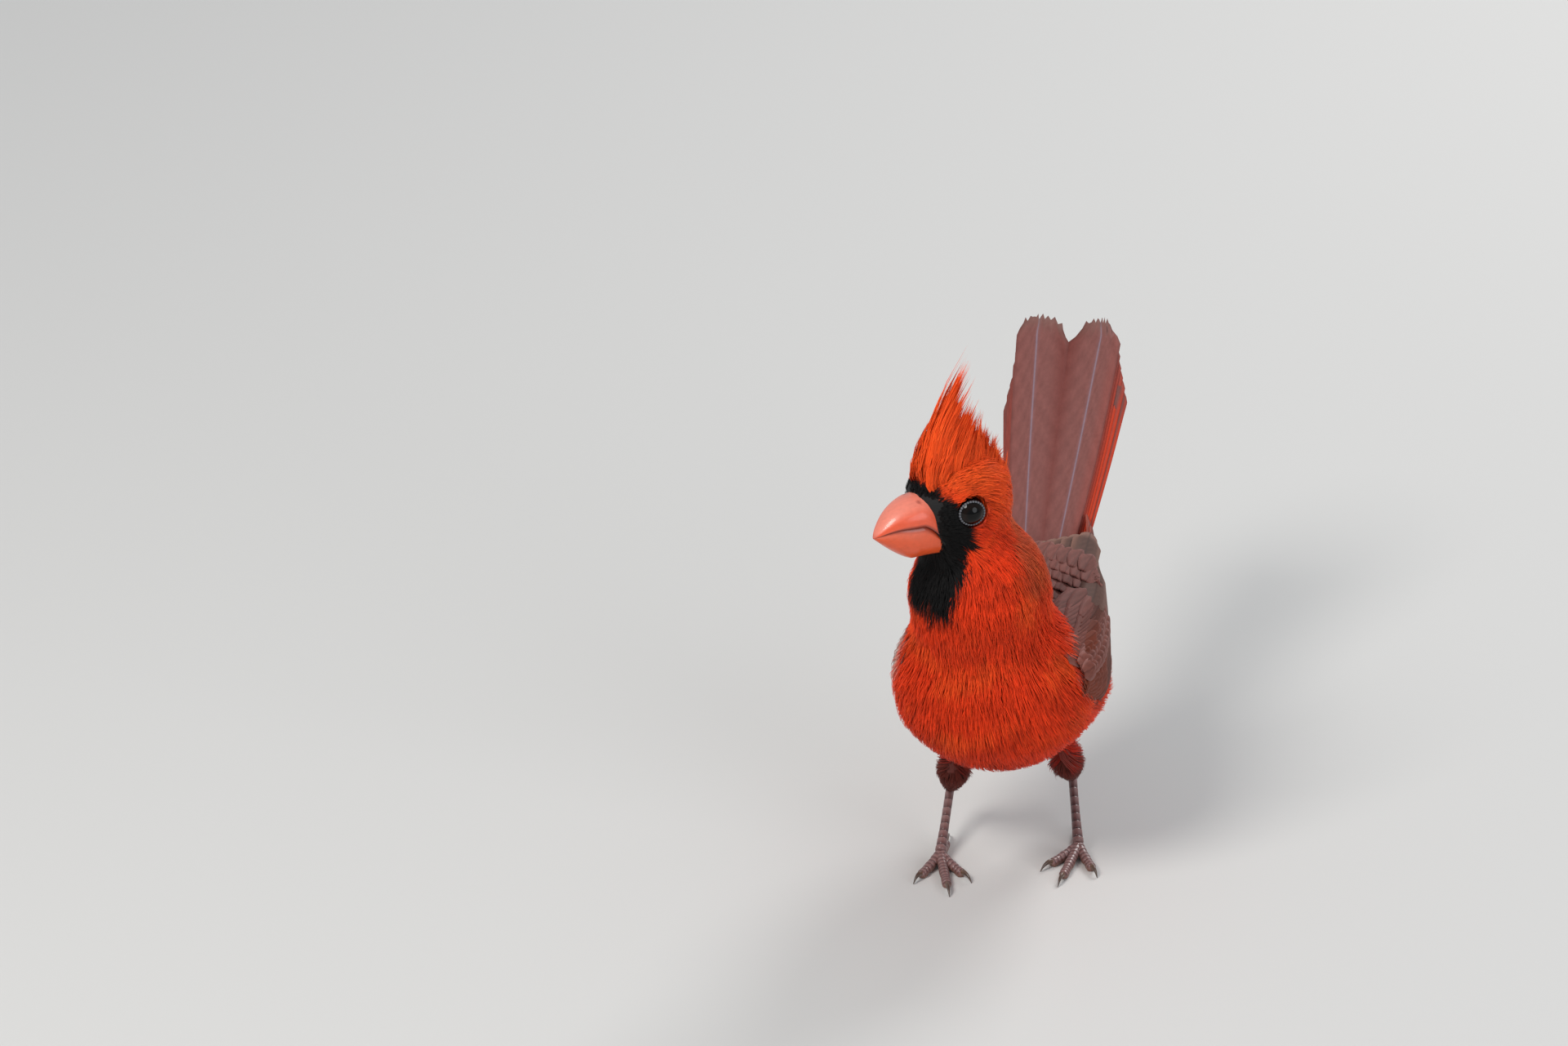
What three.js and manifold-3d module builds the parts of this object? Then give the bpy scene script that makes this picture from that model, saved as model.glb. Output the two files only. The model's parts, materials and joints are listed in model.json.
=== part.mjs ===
// A male northern cardinal at life size, standing with its head turned to its right and its tail cocked.
// Millimetres, +Z up. The bird faces -Y and its left is +X. Lengths are placed about a point on the
// ground between the feet, and the finished group is moved so that the origin is the bottom centre of
// its box.
import * as THREE from "three";
import { mergeVertices } from "three/addons/utils/BufferGeometryUtils.js";
import Module from "manifold-3d";

const wasm = await Module();
wasm.setup();

// Driving dimensions
const GAP = 0.3; // between neighbouring pieces
const BLEND = 6; // how softly the masses of the body run together
const HEAD_CENTRE = [-14.3, -21.5, 114.2];
const HEAD_YAW = 42; // degrees to the bird's right
const BODY_PITCH = 9; // degrees, chest up
const TAIL_ROOT = [-0.6, 33, 55];
const TAIL_PITCH = 29;
const TAIL_LENGTH = 100;
const TAIL_YAW = 1.5; // degrees to the bird's right
const TAIL_PAIRS = 6;
const WING_LENGTH = 80;
const WING_DEPTH = 27;
const WING_THICK = 5;
const CREST_HEIGHT = 38.5; // of the highest tip above the eye
const BILL_LENGTH = 12.2; // from the feathers on the ridge to the tip
const EYE_RADIUS = 4.1;
const TARSUS_RADIUS = 1.4;
const TOE_RADIUS = 1.22;
const CLAW_LENGTH = 5.2;
const RED = 0xc8200f;
const BROWN_RED = 0x8c4a42;
const BILL_RED = 0xe4573c;
const HORN = 0x5a3f33;
const LEG_BROWN = 0x7c4a46;
const EYE_BLACK = 0x120c0a;

const rad = THREE.MathUtils.degToRad;
const vec = (p) => new THREE.Vector3(...p);
const headTurn = new THREE.Matrix4()
  .makeTranslation(...HEAD_CENTRE)
  .multiply(new THREE.Matrix4().makeRotationZ(rad(-HEAD_YAW)));

// Places a point given in the head's own frame (left, back, up from between the eyes) in the bird's frame.
const inHead = (p) => vec(p).applyMatrix4(headTurn);

// Solids and meshes

function solidOf(geometry) {
  const bare = geometry.clone();
  for (const name of ["normal", "uv"]) bare.deleteAttribute(name);
  const merged = mergeVertices(bare, 1e-4);
  const corners = new Uint32Array(merged.index.array);
  if (enclosedVolume(merged.attributes.position, corners) < 0) corners.reverse();
  return new wasm.Manifold(
    new wasm.Mesh({ numProp: 3, vertProperties: merged.attributes.position.array, triVerts: corners }),
  );
}

function enclosedVolume(position, corners) {
  const [a, b, c] = [new THREE.Vector3(), new THREE.Vector3(), new THREE.Vector3()];
  let total = 0;
  for (let i = 0; i < corners.length; i += 3) {
    a.fromBufferAttribute(position, corners[i]);
    b.fromBufferAttribute(position, corners[i + 1]);
    c.fromBufferAttribute(position, corners[i + 2]);
    total += a.dot(b.cross(c)) / 6;
  }
  return total;
}

function geometryOf(solid) {
  const mesh = solid.getMesh();
  const geometry = new THREE.BufferGeometry();
  geometry.setAttribute("position", new THREE.BufferAttribute(mesh.vertProperties, 3));
  geometry.setIndex(new THREE.BufferAttribute(mesh.triVerts, 1));
  geometry.computeVertexNormals();
  return geometry;
}

const largestBody = (solid) => solid.decompose().reduce((a, b) => (a.volume() > b.volume() ? a : b));

// A closed skin of rings, from a sphere's own rings. place(t, angle) gives the point at t, which goes from 0
// to 1 along the piece.
function ringed(rings, sides, place) {
  const geometry = new THREE.SphereGeometry(1, sides, rings);
  const position = geometry.attributes.position;
  const uv = geometry.attributes.uv;
  for (let i = 0; i < position.count; i++) {
    const row = Math.round((1 - uv.getY(i)) * rings);
    const column = Math.round(uv.getX(i) * sides) % sides;
    const atPole = row === 0 || row === rings;
    const angle = atPole ? 0 : (column / sides) * 2 * Math.PI;
    position.setXYZ(i, ...place(row / rings, angle).toArray());
  }
  return solidOf(geometry);
}

// A limb, claw or feather: sections along a line. half(t) gives the two half widths across and up, up the
// section's up. blunt makes the ends fuller, and four sides make the section a rectangle.
function tapered(points, half, { up = [0, 0, 1], rings = 8, sides = 8, blunt = 1 } = {}) {
  const line = new THREE.CatmullRomCurve3(points.map((p) => (p.isVector3 ? p : vec(p))));
  const upward = up.isVector3 ? up : vec(up);
  return ringed(rings, sides, (t, angle) => {
    const eased = (1 - Math.cos(Math.PI * t)) / 2;
    const along = line.getTangent(eased);
    const across = new THREE.Vector3().crossVectors(along, upward).normalize();
    const above = new THREE.Vector3().crossVectors(across, along);
    const [wide, high] = half(eased);
    const round = Math.max(0, Math.sin(Math.PI * t)) ** blunt;
    const corner = sides === 4 ? Math.SQRT2 : 1;
    const turned = sides === 4 ? angle + Math.PI / 4 : angle;
    return line
      .getPoint(eased)
      .addScaledVector(across, wide * round * corner * Math.cos(turned))
      .addScaledVector(above, -high * round * corner * Math.sin(turned));
  });
}

const union = (solids) => solids.reduce((a, b) => a.add(b));

// A box that fills the side of a plane to which its normal points.
function halfSpace(point, normal, inset = 0, size = 400) {
  const box = new THREE.BoxGeometry(size, size, size);
  const direction = vec(normal).normalize();
  const turn = new THREE.Quaternion().setFromUnitVectors(new THREE.Vector3(0, 0, 1), direction);
  box.applyQuaternion(turn);
  box.translate(...vec(point).addScaledVector(direction, size / 2 + inset).toArray());
  return solidOf(box);
}

// The feathered body: ellipsoids that run together, as a distance that is negative inside

// Each mass: centre, half sizes (across, along, up), pitch in degrees, and the frame it is in.
const masses = [
  { centre: [-0.6, 5, 52], half: [26, 35, 22.5], pitch: BODY_PITCH },
  { centre: [-3, -12, 57], half: [27.2, 20.5, 25], pitch: 0 },
  { centre: [-0.5, 26, 52], half: [18, 22, 15], pitch: -4 },
  { centre: [-0.6, 40, 55.5], half: [10.5, 15, 8.5], pitch: -20 },
  { centre: [-6, -16.5, 84], half: [19, 18.5, 22], pitch: 0 },
  { centre: [0.5, 3.5, -3], half: [13.4, 14.5, 14.5], pitch: 0, ofHead: true },
  { centre: [0, 5, 3.5], half: [11, 12.5, 9.5], pitch: 0, ofHead: true },
  { centre: [0, -3.5, -1], half: [6.2, 8.6, 6.6], pitch: 0, ofHead: true },
];

for (const mass of masses) {
  const toBird = mass.ofHead ? headTurn.clone() : new THREE.Matrix4();
  mass.toOwn = toBird
    .multiply(new THREE.Matrix4().makeTranslation(...mass.centre))
    .multiply(new THREE.Matrix4().makeRotationX(rad(-mass.pitch)))
    .invert();
}

function distanceTo(mass, point) {
  const p = point.clone().applyMatrix4(mass.toOwn);
  const [a, b, c] = mass.half;
  const inUnits = Math.hypot(p.x / a, p.y / b, p.z / c);
  const slope = Math.hypot(p.x / (a * a), p.y / (b * b), p.z / (c * c));
  return slope < 1e-6 ? -Math.min(a, b, c) : (inUnits * (inUnits - 1)) / slope;
}

function bodyDistance(point) {
  let total = 0;
  for (const mass of masses) total += Math.exp(-distanceTo(mass, point) / (BLEND / 4));
  return -(BLEND / 4) * Math.log(Math.max(total, 1e-300));
}

// The farthest that a piece of the body reaches from its own middle line. Past it lies another piece.
function outToSurface(from, direction, farthest, grow) {
  let reach = 0;
  for (let step = 0; step < 60 && reach < farthest; step++) {
    const distance = bodyDistance(from.clone().addScaledVector(direction, reach)) - grow;
    reach -= distance * 0.8;
    if (Math.abs(distance) < 0.005) break;
  }
  return from.clone().addScaledVector(direction, Math.min(reach, farthest));
}

// The body's surface as seen from a straight line inside it, with rings that fan out at the line's two ends.
function wrapped({ from, to, farthest, rings, sides }, grow = 0) {
  const tangent = to.clone().sub(from).normalize();
  const across = new THREE.Vector3(1, 0, 0).addScaledVector(tangent, -tangent.x).normalize();
  const above = new THREE.Vector3().crossVectors(tangent, across);
  const endShare = 0.3;
  return ringed(rings, sides, (t, angle) => {
    const along = THREE.MathUtils.clamp((t - endShare) / (1 - 2 * endShare), 0, 1);
    let lean = 0;
    if (t < endShare) lean = -(Math.PI / 2) * (1 - t / endShare);
    if (t > 1 - endShare) lean = (Math.PI / 2) * (1 - (1 - t) / endShare);
    const direction = tangent
      .clone()
      .multiplyScalar(Math.sin(lean))
      .addScaledVector(across, Math.cos(lean) * Math.cos(angle))
      .addScaledVector(above, Math.cos(lean) * Math.sin(angle))
      .normalize();
    return outToSurface(from.clone().lerp(to, along), direction, farthest, grow);
  });
}

const headWrap = { from: inHead([0, -4, 0]), to: inHead([0, 6, 0]), farthest: 28, rings: 19, sides: 21 };
const neckLine = { from: vec([-8, -18, 100]), to: vec([-4, -12, 74]) };
const neckWrap = { ...neckLine, farthest: 40, rings: 16, sides: 26 };
const trunkLine = { from: vec([-2, -14, 54]), to: vec([-0.6, 36, 54]) };
const trunkWrap = { ...trunkLine, farthest: 46, rings: 22, sides: 24 };

// Crest: a fan of locks on the crown, the first ones tall, the last ones low and pointing back

const crestRoots = new THREE.CatmullRomCurve3([vec([0, -9, 3.8]), vec([0, 2, 6]), vec([0, 11, 2.5])]);
const crestTips = new THREE.CatmullRomCurve3([
  vec([0, 7.4, CREST_HEIGHT]),
  vec([0, 8.2, 29]),
  vec([0, 13, 19]),
  vec([0, 18.5, 10]),
]);

function crest() {
  const locks = 7;
  const solids = [];
  const up = inHead([1, 0, 0]).sub(inHead([0, 0, 0]));
  for (let i = 0; i < locks; i++) {
    const back = i / (locks - 1);
    const root = crestRoots.getPoint(back);
    const tip = crestTips.getPoint(back);
    const bow = root.clone().lerp(tip, 0.5).add(vec([0, -4.2 * (1 - back), 1.5 * back]));
    const wide = 6.4 - 2 * back;
    const half = (t) => [4.2 * (1 - t) ** 0.7 + 0.5, wide * (1 - t) ** 0.8 + 0.5];
    const line = [root, bow, tip].map((p) => p.applyMatrix4(headTurn));
    solids.push(tapered(line, half, { up, rings: 6, sides: 7 }));
  }
  return union(solids);
}

// Bill: two stout horny halves that close on a gape line which turns down at its back

const billRoot = -8.5; // how far forward of the eyes the bill starts, inside the feathers
const billTip = [0, billRoot - 3.4 - BILL_LENGTH, -5];

// t runs from the root to the tip.
const billTop = (t) => THREE.MathUtils.lerp(3.8, billTip[2], t ** 3.2);
const gapeCorner = (t) => 5.8 * Math.max(0, (0.34 - t) / 0.34) ** 1.3;
const billGape = (t) => -2.7 - gapeCorner(t) - 2.3 * Math.max(0, (t - 0.6) / 0.4) ** 2;
const billBottom = (t) => -13.7 + 8.4 * Math.max(0, (t - 0.38) / 0.62) ** 1.25;
const billHalfWidth = (t) => 7.4 * (1 - t ** 1.7) ** 0.75 + 0.25;

function billHalf(upper, grow = 0) {
  return ringed(9, 12, (t, angle) => {
    const eased = (1 - Math.cos(Math.PI * t)) / 2;
    const along = THREE.MathUtils.lerp(billRoot + 3 + grow, billTip[1] - grow, eased);
    const outward = upper ? 1 : -1;
    const from = billGape(eased) + (outward * GAP) / 2;
    const to = upper ? Math.max(billTop(eased), from + 0.5) : Math.min(billBottom(eased), from - 0.5);
    const round = Math.sin(Math.PI * Math.min(1, t * 2)) * (t < 0.5) + (t >= 0.5);
    const closing = t === 0 || t === 1 ? 0 : Math.max(round, 0.6);
    const high = (Math.max(0, Math.sin(angle)) ** 0.8) * closing;
    const wide = Math.cos(angle) * (billHalfWidth(eased) * (upper ? 1 : 0.93) + grow) * closing;
    const level = THREE.MathUtils.lerp(from, to, high) + outward * grow * (high > 1e-6 ? 1 : -1);
    return inHead([wide, along, level]);
  });
}

// Eyes: balls set in the sides of the head
function eye(side, grow = 0) {
  const ball = new THREE.SphereGeometry(EYE_RADIUS + grow, 14, 8);
  ball.translate(...inHead([side * 9.9, 0, 0]).toArray());
  return solidOf(ball);
}

// Folded wings: a pad of coverts at the bend, running back into the closed flight feathers

const wingLine = (side) => [
  [side * 20 - 1.4, -18, 62],
  [side * 22.6 - 1.2, -4, 61],
  [side * 21 - 1, 16, 62],
  [side * 15.5 - 0.8, 38, 65.5],
  [side * 10 - 0.6, WING_LENGTH - 20, 70.5],
];
const wingUp = (side) => [side * -0.3, 0, 1]; // the upper edge leans in over the back

function wing(side, grow = 0) {
  const half = (t) => [
    (WING_THICK / 2) * (1 - t) ** 0.8 + 0.55 + grow,
    (WING_DEPTH / 2) * (1 - 0.82 * t ** 1.5) + grow,
  ];
  return tapered(wingLine(side), half, { up: wingUp(side), rings: 16, sides: 12 });
}

// Tail: six pairs of long feathers, the middle pair on top

const tailTurn = new THREE.Matrix4()
  .makeTranslation(...TAIL_ROOT)
  .multiply(new THREE.Matrix4().makeRotationZ(rad(TAIL_YAW)))
  .multiply(new THREE.Matrix4().makeRotationX(rad(TAIL_PITCH)));
const inTail = (p) => vec(p).applyMatrix4(tailTurn);

// The roots' distances from the middle line and the angles of the feathers go from the first pair to the
// last, and the last feather is shorter than the first by the share given.
const tailFan = {
  right: { side: -1, roots: [1.3, 3.8], angles: [4.4, 7.4], shortened: 0.26 },
  left: { side: 1, roots: [2.9, 7], angles: [1.8, 4.8], shortened: 0.2 },
};

function tailFeather({ side, roots, angles, shortened }, pair) {
  const outward = pair / (TAIL_PAIRS - 1);
  const splay = rad(THREE.MathUtils.lerp(...angles, outward ** 1.5)) * side;
  const start = THREE.MathUtils.lerp(...roots, outward) * side;
  const length = TAIL_LENGTH * (0.995 - shortened * outward);
  const drop = -0.55 * pair;
  const at = (s) => inTail([start + Math.sin(splay) * length * s, Math.cos(splay) * length * s, drop]);
  const width = (t) => {
    const full = 4.2 + 3.4 * Math.sin((Math.PI / 2) * Math.min(1, t * 1.3));
    return (full - 22 * Math.max(0, t - 0.9)) * (1 - 0.09 * pair);
  };
  const upward = inTail([side * -0.06 * pair, 0, 1]).sub(inTail([0, 0, 0]));
  const line = [at(0.02), at(0.35), at(0.7), at(1)];
  return tapered(line, (t) => [width(t), 0.4], { up: upward, rings: 7, sides: 4, blunt: 0.25 });
}

function tail() {
  const feathers = [];
  for (let pair = 0; pair < TAIL_PAIRS; pair++)
    for (const fan of [tailFan.right, tailFan.left]) feathers.push(tailFeather(fan, pair));
  return union(feathers);
}

// The slot in the rump that the roots of the tail feathers lie in.
function tailSlot() {
  const slot = new THREE.BoxGeometry(28, 40, 6.2);
  slot.translate(0, 20, -2);
  slot.applyMatrix4(tailTurn);
  return solidOf(slot);
}

// Legs. Each stands on the point under the root of its toes.

const legs = {
  right: { side: -1, foot: [-17, -10.7], ankle: [-17.8, 10.4, 13.8], knee: [-13.5, -6, 33], heading: 17 },
  left: { side: 1, foot: [18.6, 1], ankle: [13.4, 20.2, 15.8], knee: [14.2, -1, 35], heading: -6 },
};

// Toes: angle from the foot's heading in degrees (towards the bird's outside), length, and the claw's size.
const toes = [
  { name: "hind", turn: 197, length: 8.2, claw: 1.25 },
  { name: "inner", turn: -27, length: 10.2, claw: 0.9 },
  { name: "middle", turn: 0, length: 15.2, claw: 1 },
  { name: "outer", turn: 35, length: 10.6, claw: 0.85 },
];
const footHeight = 3.2;
const aboveGround = halfSpace([0, 0, 0], [0, 0, 1]);

function toeFrame(leg, toe) {
  const angle = rad(-90 + leg.heading + toe.turn * leg.side);
  const direction = [Math.cos(angle), Math.sin(angle)];
  return (reach, height, aside = 0) => [
    leg.foot[0] + direction[0] * reach - direction[1] * aside,
    leg.foot[1] + direction[1] * reach + direction[0] * aside,
    height,
  ];
}

// The toe's pads are cut off flat where they press on the ground.
function toeSolid(leg, toe, grow = 0) {
  const at = toeFrame(leg, toe);
  const end = toe.length + 1;
  const root = at(0.4 - grow, footHeight - 0.4);
  const points = [root, at(end * 0.35, 1.9), at(end * 0.7, 1.2), at(end + grow, 0.95)];
  const pads = (t) => TOE_RADIUS * (1 - 0.16 * t + 0.1 * Math.abs(Math.sin(t * 3 * Math.PI))) + grow;
  const toeAlone = tapered(points, (t) => [pads(t), pads(t)], { rings: 7, sides: 7 });
  return grow > 0 ? toeAlone : toeAlone.intersect(aboveGround);
}

function clawSolid(leg, toe, grow = 0) {
  const at = toeFrame(leg, toe);
  const start = toe.length + 0.2;
  const length = CLAW_LENGTH * toe.claw;
  const tip = at(start + length + grow, 0.35);
  const points = [at(start - grow, 1.5), at(start + length * 0.5, 1.85), tip];
  const half = (t) => [0.62 * (1 - t) + 0.16 + grow, 0.78 * (1 - t) + 0.16 + grow];
  const claw = tapered(points, half, { rings: 6, sides: 6 });
  return grow > 0 ? claw : claw.intersect(aboveGround);
}

function tarsusSolid(leg, grow = 0) {
  const foot = [leg.foot[0], leg.foot[1], footHeight - 0.7 - grow];
  const thick = (t) => TARSUS_RADIUS * (1 + 0.5 * Math.abs(2 * t - 1) ** 4) + grow;
  return tapered([foot, leg.ankle], (t) => [thick(t) * 0.85, thick(t)]);
}

// The feathered shank, from inside the belly to just over the ankle.
function thighSolid(leg, grow = 0) {
  const low = vec(leg.ankle).lerp(vec([...leg.foot, footHeight]), 0.1);
  const thick = (t) => 4.2 * (1 - t) ** 0.9 + 2.2 + grow;
  return tapered([leg.knee, low], (t) => [thick(t) * 0.8, thick(t)], { rings: 8, sides: 10 });
}

// Assembly: each piece is cut clear of its neighbours by GAP, and the ones named first keep their shape.

const pieces = {};
const materials = {
  red: new THREE.MeshStandardMaterial({ color: RED, roughness: 0.85, metalness: 0 }),
  brown: new THREE.MeshStandardMaterial({ color: BROWN_RED, roughness: 0.8, metalness: 0 }),
  bill: new THREE.MeshStandardMaterial({ color: BILL_RED, roughness: 0.4, metalness: 0 }),
  horn: new THREE.MeshStandardMaterial({ color: HORN, roughness: 0.45, metalness: 0 }),
  leg: new THREE.MeshStandardMaterial({ color: LEG_BROWN, roughness: 0.6, metalness: 0 }),
  eye: new THREE.MeshStandardMaterial({ color: EYE_BLACK, roughness: 0.05, metalness: 0 }),
};

function buildBird() {
  const headCut = { point: inHead([0, 4, -14]).toArray(), normal: [-0.12, -0.25, 1] };
  const neckCut = { point: [-4, -12, 74], normal: [-0.1, -0.45, 1] };
  const bill = billHalf(true, GAP).add(billHalf(false, GAP));
  const sockets = eye(1, GAP).add(eye(-1, GAP));
  const wingRoom = wing(1, GAP).add(wing(-1, GAP));
  const head = wrapped(headWrap).intersect(halfSpace(headCut.point, headCut.normal, GAP / 2));
  const neck = wrapped(neckWrap)
    .subtract(halfSpace(headCut.point, headCut.normal, -GAP / 2))
    .intersect(halfSpace(neckCut.point, neckCut.normal, GAP / 2));
  let trunk = wrapped(trunkWrap)
    .subtract(halfSpace(neckCut.point, neckCut.normal, -GAP / 2))
    .subtract(wingRoom);
  keep("crest", crest().subtract(wrapped(headWrap, GAP)), "red");
  keep("head", head.subtract(bill).subtract(sockets), "red");
  keep("bill_upper", billHalf(true), "bill");
  keep("bill_lower", billHalf(false), "bill");
  keep("neck", neck.subtract(wingRoom), "red");
  for (const [side, sign] of [["left", 1], ["right", -1]]) {
    const leg = legs[side];
    keep("eye_" + side, eye(sign), "eye");
    keep("wing_" + side, wing(sign), "brown");
    keep("thigh_" + side, thighSolid(leg).subtract(tarsusSolid(leg, GAP)).subtract(wingRoom), "red");
    keep("tarsus_" + side, tarsusSolid(leg).intersect(aboveGround), "leg");
    trunk = trunk.subtract(thighSolid(leg, GAP)).subtract(tarsusSolid(leg, GAP));
    buildToes(leg, side);
  }
  keep("trunk", trunk.subtract(tailSlot()), "red");
  keep("tail", tail().subtract(wingRoom), "brown");
}

function keep(name, solid, finish) {
  pieces[name] = [largestBody(solid), finish];
}

// Each toe is cut clear of the shank and of the toes before it.
function buildToes(leg, side) {
  let taken = tarsusSolid(leg, GAP);
  for (const toe of toes) {
    const scaled = toeSolid(leg, toe).subtract(taken).subtract(clawSolid(leg, toe, GAP));
    keep("toe_" + toe.name + "_" + side, scaled, "leg");
    keep("claw_" + toe.name + "_" + side, clawSolid(leg, toe), "horn");
    taken = taken.add(toeSolid(leg, toe, GAP));
  }
}

buildBird();
const bird = new THREE.Group();
for (const [name, [solid, finish]] of Object.entries(pieces)) {
  const mesh = new THREE.Mesh(geometryOf(solid), materials[finish]);
  mesh.name = name;
  bird.add(mesh);
}
const box = new THREE.Box3().setFromObject(bird);
const middle = box.getCenter(new THREE.Vector3());
bird.position.set(-middle.x, -middle.y, -box.min.z);

export default bird;
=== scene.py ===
"""The looks of a male northern cardinal: one skin over the body's solids, a coat of small feathers, long
feathers on the wings and tail, a horny bill, wet eyes and scaled legs, on a pale floor in soft light.

Shapes are worked out in millimetres about a point on the ground between the feet, which is called the bird's
frame here, and are turned into the frame's metres when a mesh is made.
"""

import json
import math

import bmesh
import bpy
import numpy as np
from mathutils import Matrix, Vector, bvhtree

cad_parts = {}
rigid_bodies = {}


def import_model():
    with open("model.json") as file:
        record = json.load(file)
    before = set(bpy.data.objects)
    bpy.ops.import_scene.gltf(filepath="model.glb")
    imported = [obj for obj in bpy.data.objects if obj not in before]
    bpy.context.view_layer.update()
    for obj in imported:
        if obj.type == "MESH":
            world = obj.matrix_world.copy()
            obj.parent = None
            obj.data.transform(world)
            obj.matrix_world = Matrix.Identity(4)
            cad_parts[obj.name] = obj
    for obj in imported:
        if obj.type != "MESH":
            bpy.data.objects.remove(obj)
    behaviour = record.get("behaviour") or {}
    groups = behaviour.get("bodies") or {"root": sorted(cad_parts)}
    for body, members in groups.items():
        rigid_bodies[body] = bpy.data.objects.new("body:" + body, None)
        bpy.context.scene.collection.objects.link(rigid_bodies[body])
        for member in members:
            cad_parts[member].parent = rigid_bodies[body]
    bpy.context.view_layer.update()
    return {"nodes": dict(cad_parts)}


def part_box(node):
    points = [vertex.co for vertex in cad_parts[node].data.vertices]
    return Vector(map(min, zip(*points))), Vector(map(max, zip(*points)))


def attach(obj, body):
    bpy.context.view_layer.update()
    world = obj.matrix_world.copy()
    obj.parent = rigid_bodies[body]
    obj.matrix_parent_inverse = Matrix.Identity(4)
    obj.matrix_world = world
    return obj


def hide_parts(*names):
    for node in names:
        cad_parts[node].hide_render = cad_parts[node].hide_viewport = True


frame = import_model()
rng = np.random.default_rng(7)

# Sizes shared with the solids, in the bird's frame
MM = 0.001
HEAD_CENTRE = np.array([-14.3, -21.5, 114.2])
HEAD_YAW = math.radians(42)
FACE_CENTRE = np.array([0, -8, -3])
EYE_OUT = 9.9
EYE_RADIUS = 4.1
EYE_AXIS = np.array([1.0, -0.36, 0.1])
CREST_HEIGHT = 38.5
BILL_ROOT = -5.5
BILL_TIP = -24.1
TRUNK_MIDDLE_X = -1.0
TAIL_ROOT = np.array([-0.6, 33.0, 55.0])
TAIL_PITCH = math.radians(29)
TAIL_YAW = math.radians(1.5)
TAIL_LENGTH = 100.0
TAIL_PAIRS = 6
WING_LENGTH = 80.0
WING_DEPTH = 27.0

# The camera. The bird's frame starts at the ground point, which has this pixel in the photograph.
IMAGE_WIDTH = 1920
IMAGE_HEIGHT = 1281
GROUND_PIXEL_X = 1236
GROUND_PIXEL_Y = 1040
PIXELS_PER_MM = 4.55
CAMERA_AZIMUTH = math.radians(11)
CAMERA_ELEVATION = math.radians(26)
CAMERA_DISTANCE = 2600.0
SENSOR = 36.0

# Colours, linear
BREAST_RED = (0.72, 0.042, 0.006)
BELLY_RED = (0.40, 0.014, 0.004)
# The orange of painted highlights, laid in random patches over the red of the coat.
HIGHLIGHT_ORANGE = (0.84, 0.105, 0.014)
CREST_RED = (0.82, 0.078, 0.010)
CREST_ORANGE = (0.86, 0.16, 0.03)
NAPE_BROWN = (0.36, 0.10, 0.035)
MANTLE_ROSE = (0.19, 0.068, 0.055)
MANTLE_FRINGE = (0.34, 0.165, 0.145)
COVERT_BROWN = (0.11, 0.030, 0.019)
COVERT_RED = (0.155, 0.034, 0.018)
COVERT_FRINGE = (0.25, 0.078, 0.056)
FLIGHT_BROWN = (0.085, 0.042, 0.036)
FLIGHT_EDGE = (0.36, 0.075, 0.05)
TERTIAL_BROWN = (0.10, 0.048, 0.036)
TERTIAL_EDGE = (0.33, 0.18, 0.14)
PALE_FRINGE = (0.60, 0.42, 0.36)
THIGH_RED = (0.12, 0.016, 0.009)
MASK_BLACK = (0.0035, 0.003, 0.003)
RUMP_RED = (0.27, 0.045, 0.03)
RUMP_ROSE = (0.24, 0.075, 0.06)
VENT_RED = (0.50, 0.05, 0.025)
SPOT_GREY = (0.12, 0.06, 0.05)
TAIL_ROSE = (0.215, 0.082, 0.072)
TAIL_EDGE = (0.56, 0.05, 0.018)
TAIL_GAP = (0.14, 0.02, 0.014)
TAIL_SHAFT = (0.27, 0.23, 0.29)
TAIL_TIP = (0.20, 0.12, 0.10)
BILL_RED = (0.80, 0.10, 0.035)
# The bill's pink is a painted highlight, along the ridge of the upper half and on the sides of the lower
# half.
BILL_HIGHLIGHT_PINK = (0.86, 0.27, 0.19)
MANDIBLE_ORANGE = (0.80, 0.095, 0.02)
BILL_LINE = (0.16, 0.018, 0.01)
BILL_END = (0.42, 0.07, 0.04)
NOSTRIL = (0.30, 0.06, 0.045)
PUPIL = (0.001, 0.0009, 0.0009)
IRIS = (0.007, 0.003, 0.0016)
LID_DARK = (0.008, 0.007, 0.008)
LID_GREY = (0.13, 0.13, 0.145)
LEG_PURPLE = (0.14, 0.06, 0.056)
LEG_PALE = (0.26, 0.14, 0.13)
SCUTE_LINE = (0.045, 0.02, 0.02)
PAD_ORANGE = (0.34, 0.15, 0.08)
CLAW_BASE = (0.16, 0.085, 0.055)
CLAW_BROWN = (0.075, 0.045, 0.032)
FLOOR_GREY = (0.62, 0.61, 0.59)


# Vectors


def unit(v):
    """Makes each vector one long."""
    return v / np.maximum(np.linalg.norm(v, axis=-1, keepdims=True), 1e-9)


def mix(a, b, share):
    """Goes from colour or point a to b."""
    share = np.asarray(share, float)[..., None]
    return np.asarray(a, float) * (1 - share) + np.asarray(b, float) * share


def ramp(x, low, high):
    """Goes smoothly from 0 at low to 1 at high."""
    t = np.clip((np.asarray(x, float) - low) / (high - low), 0, 1)
    return t * t * (3 - 2 * t)


def turn_z(angle):
    c, s = math.cos(angle), math.sin(angle)
    return np.array([[c, -s, 0], [s, c, 0], [0, 0, 1.0]])


def turn_x(angle):
    c, s = math.cos(angle), math.sin(angle)
    return np.array([[1.0, 0, 0], [0, c, -s], [0, s, c]])


HEAD_TURN = turn_z(-HEAD_YAW)
TAIL_TURN = turn_z(TAIL_YAW) @ turn_x(TAIL_PITCH)


def in_head(p):
    """From the head's own frame (left, back, up from between the eyes) to the bird's frame."""
    return np.asarray(p, float) @ HEAD_TURN.T + HEAD_CENTRE


def to_head(p):
    return (np.asarray(p, float) - HEAD_CENTRE) @ HEAD_TURN


def in_tail(p):
    return np.asarray(p, float) @ TAIL_TURN.T + TAIL_ROOT


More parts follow.
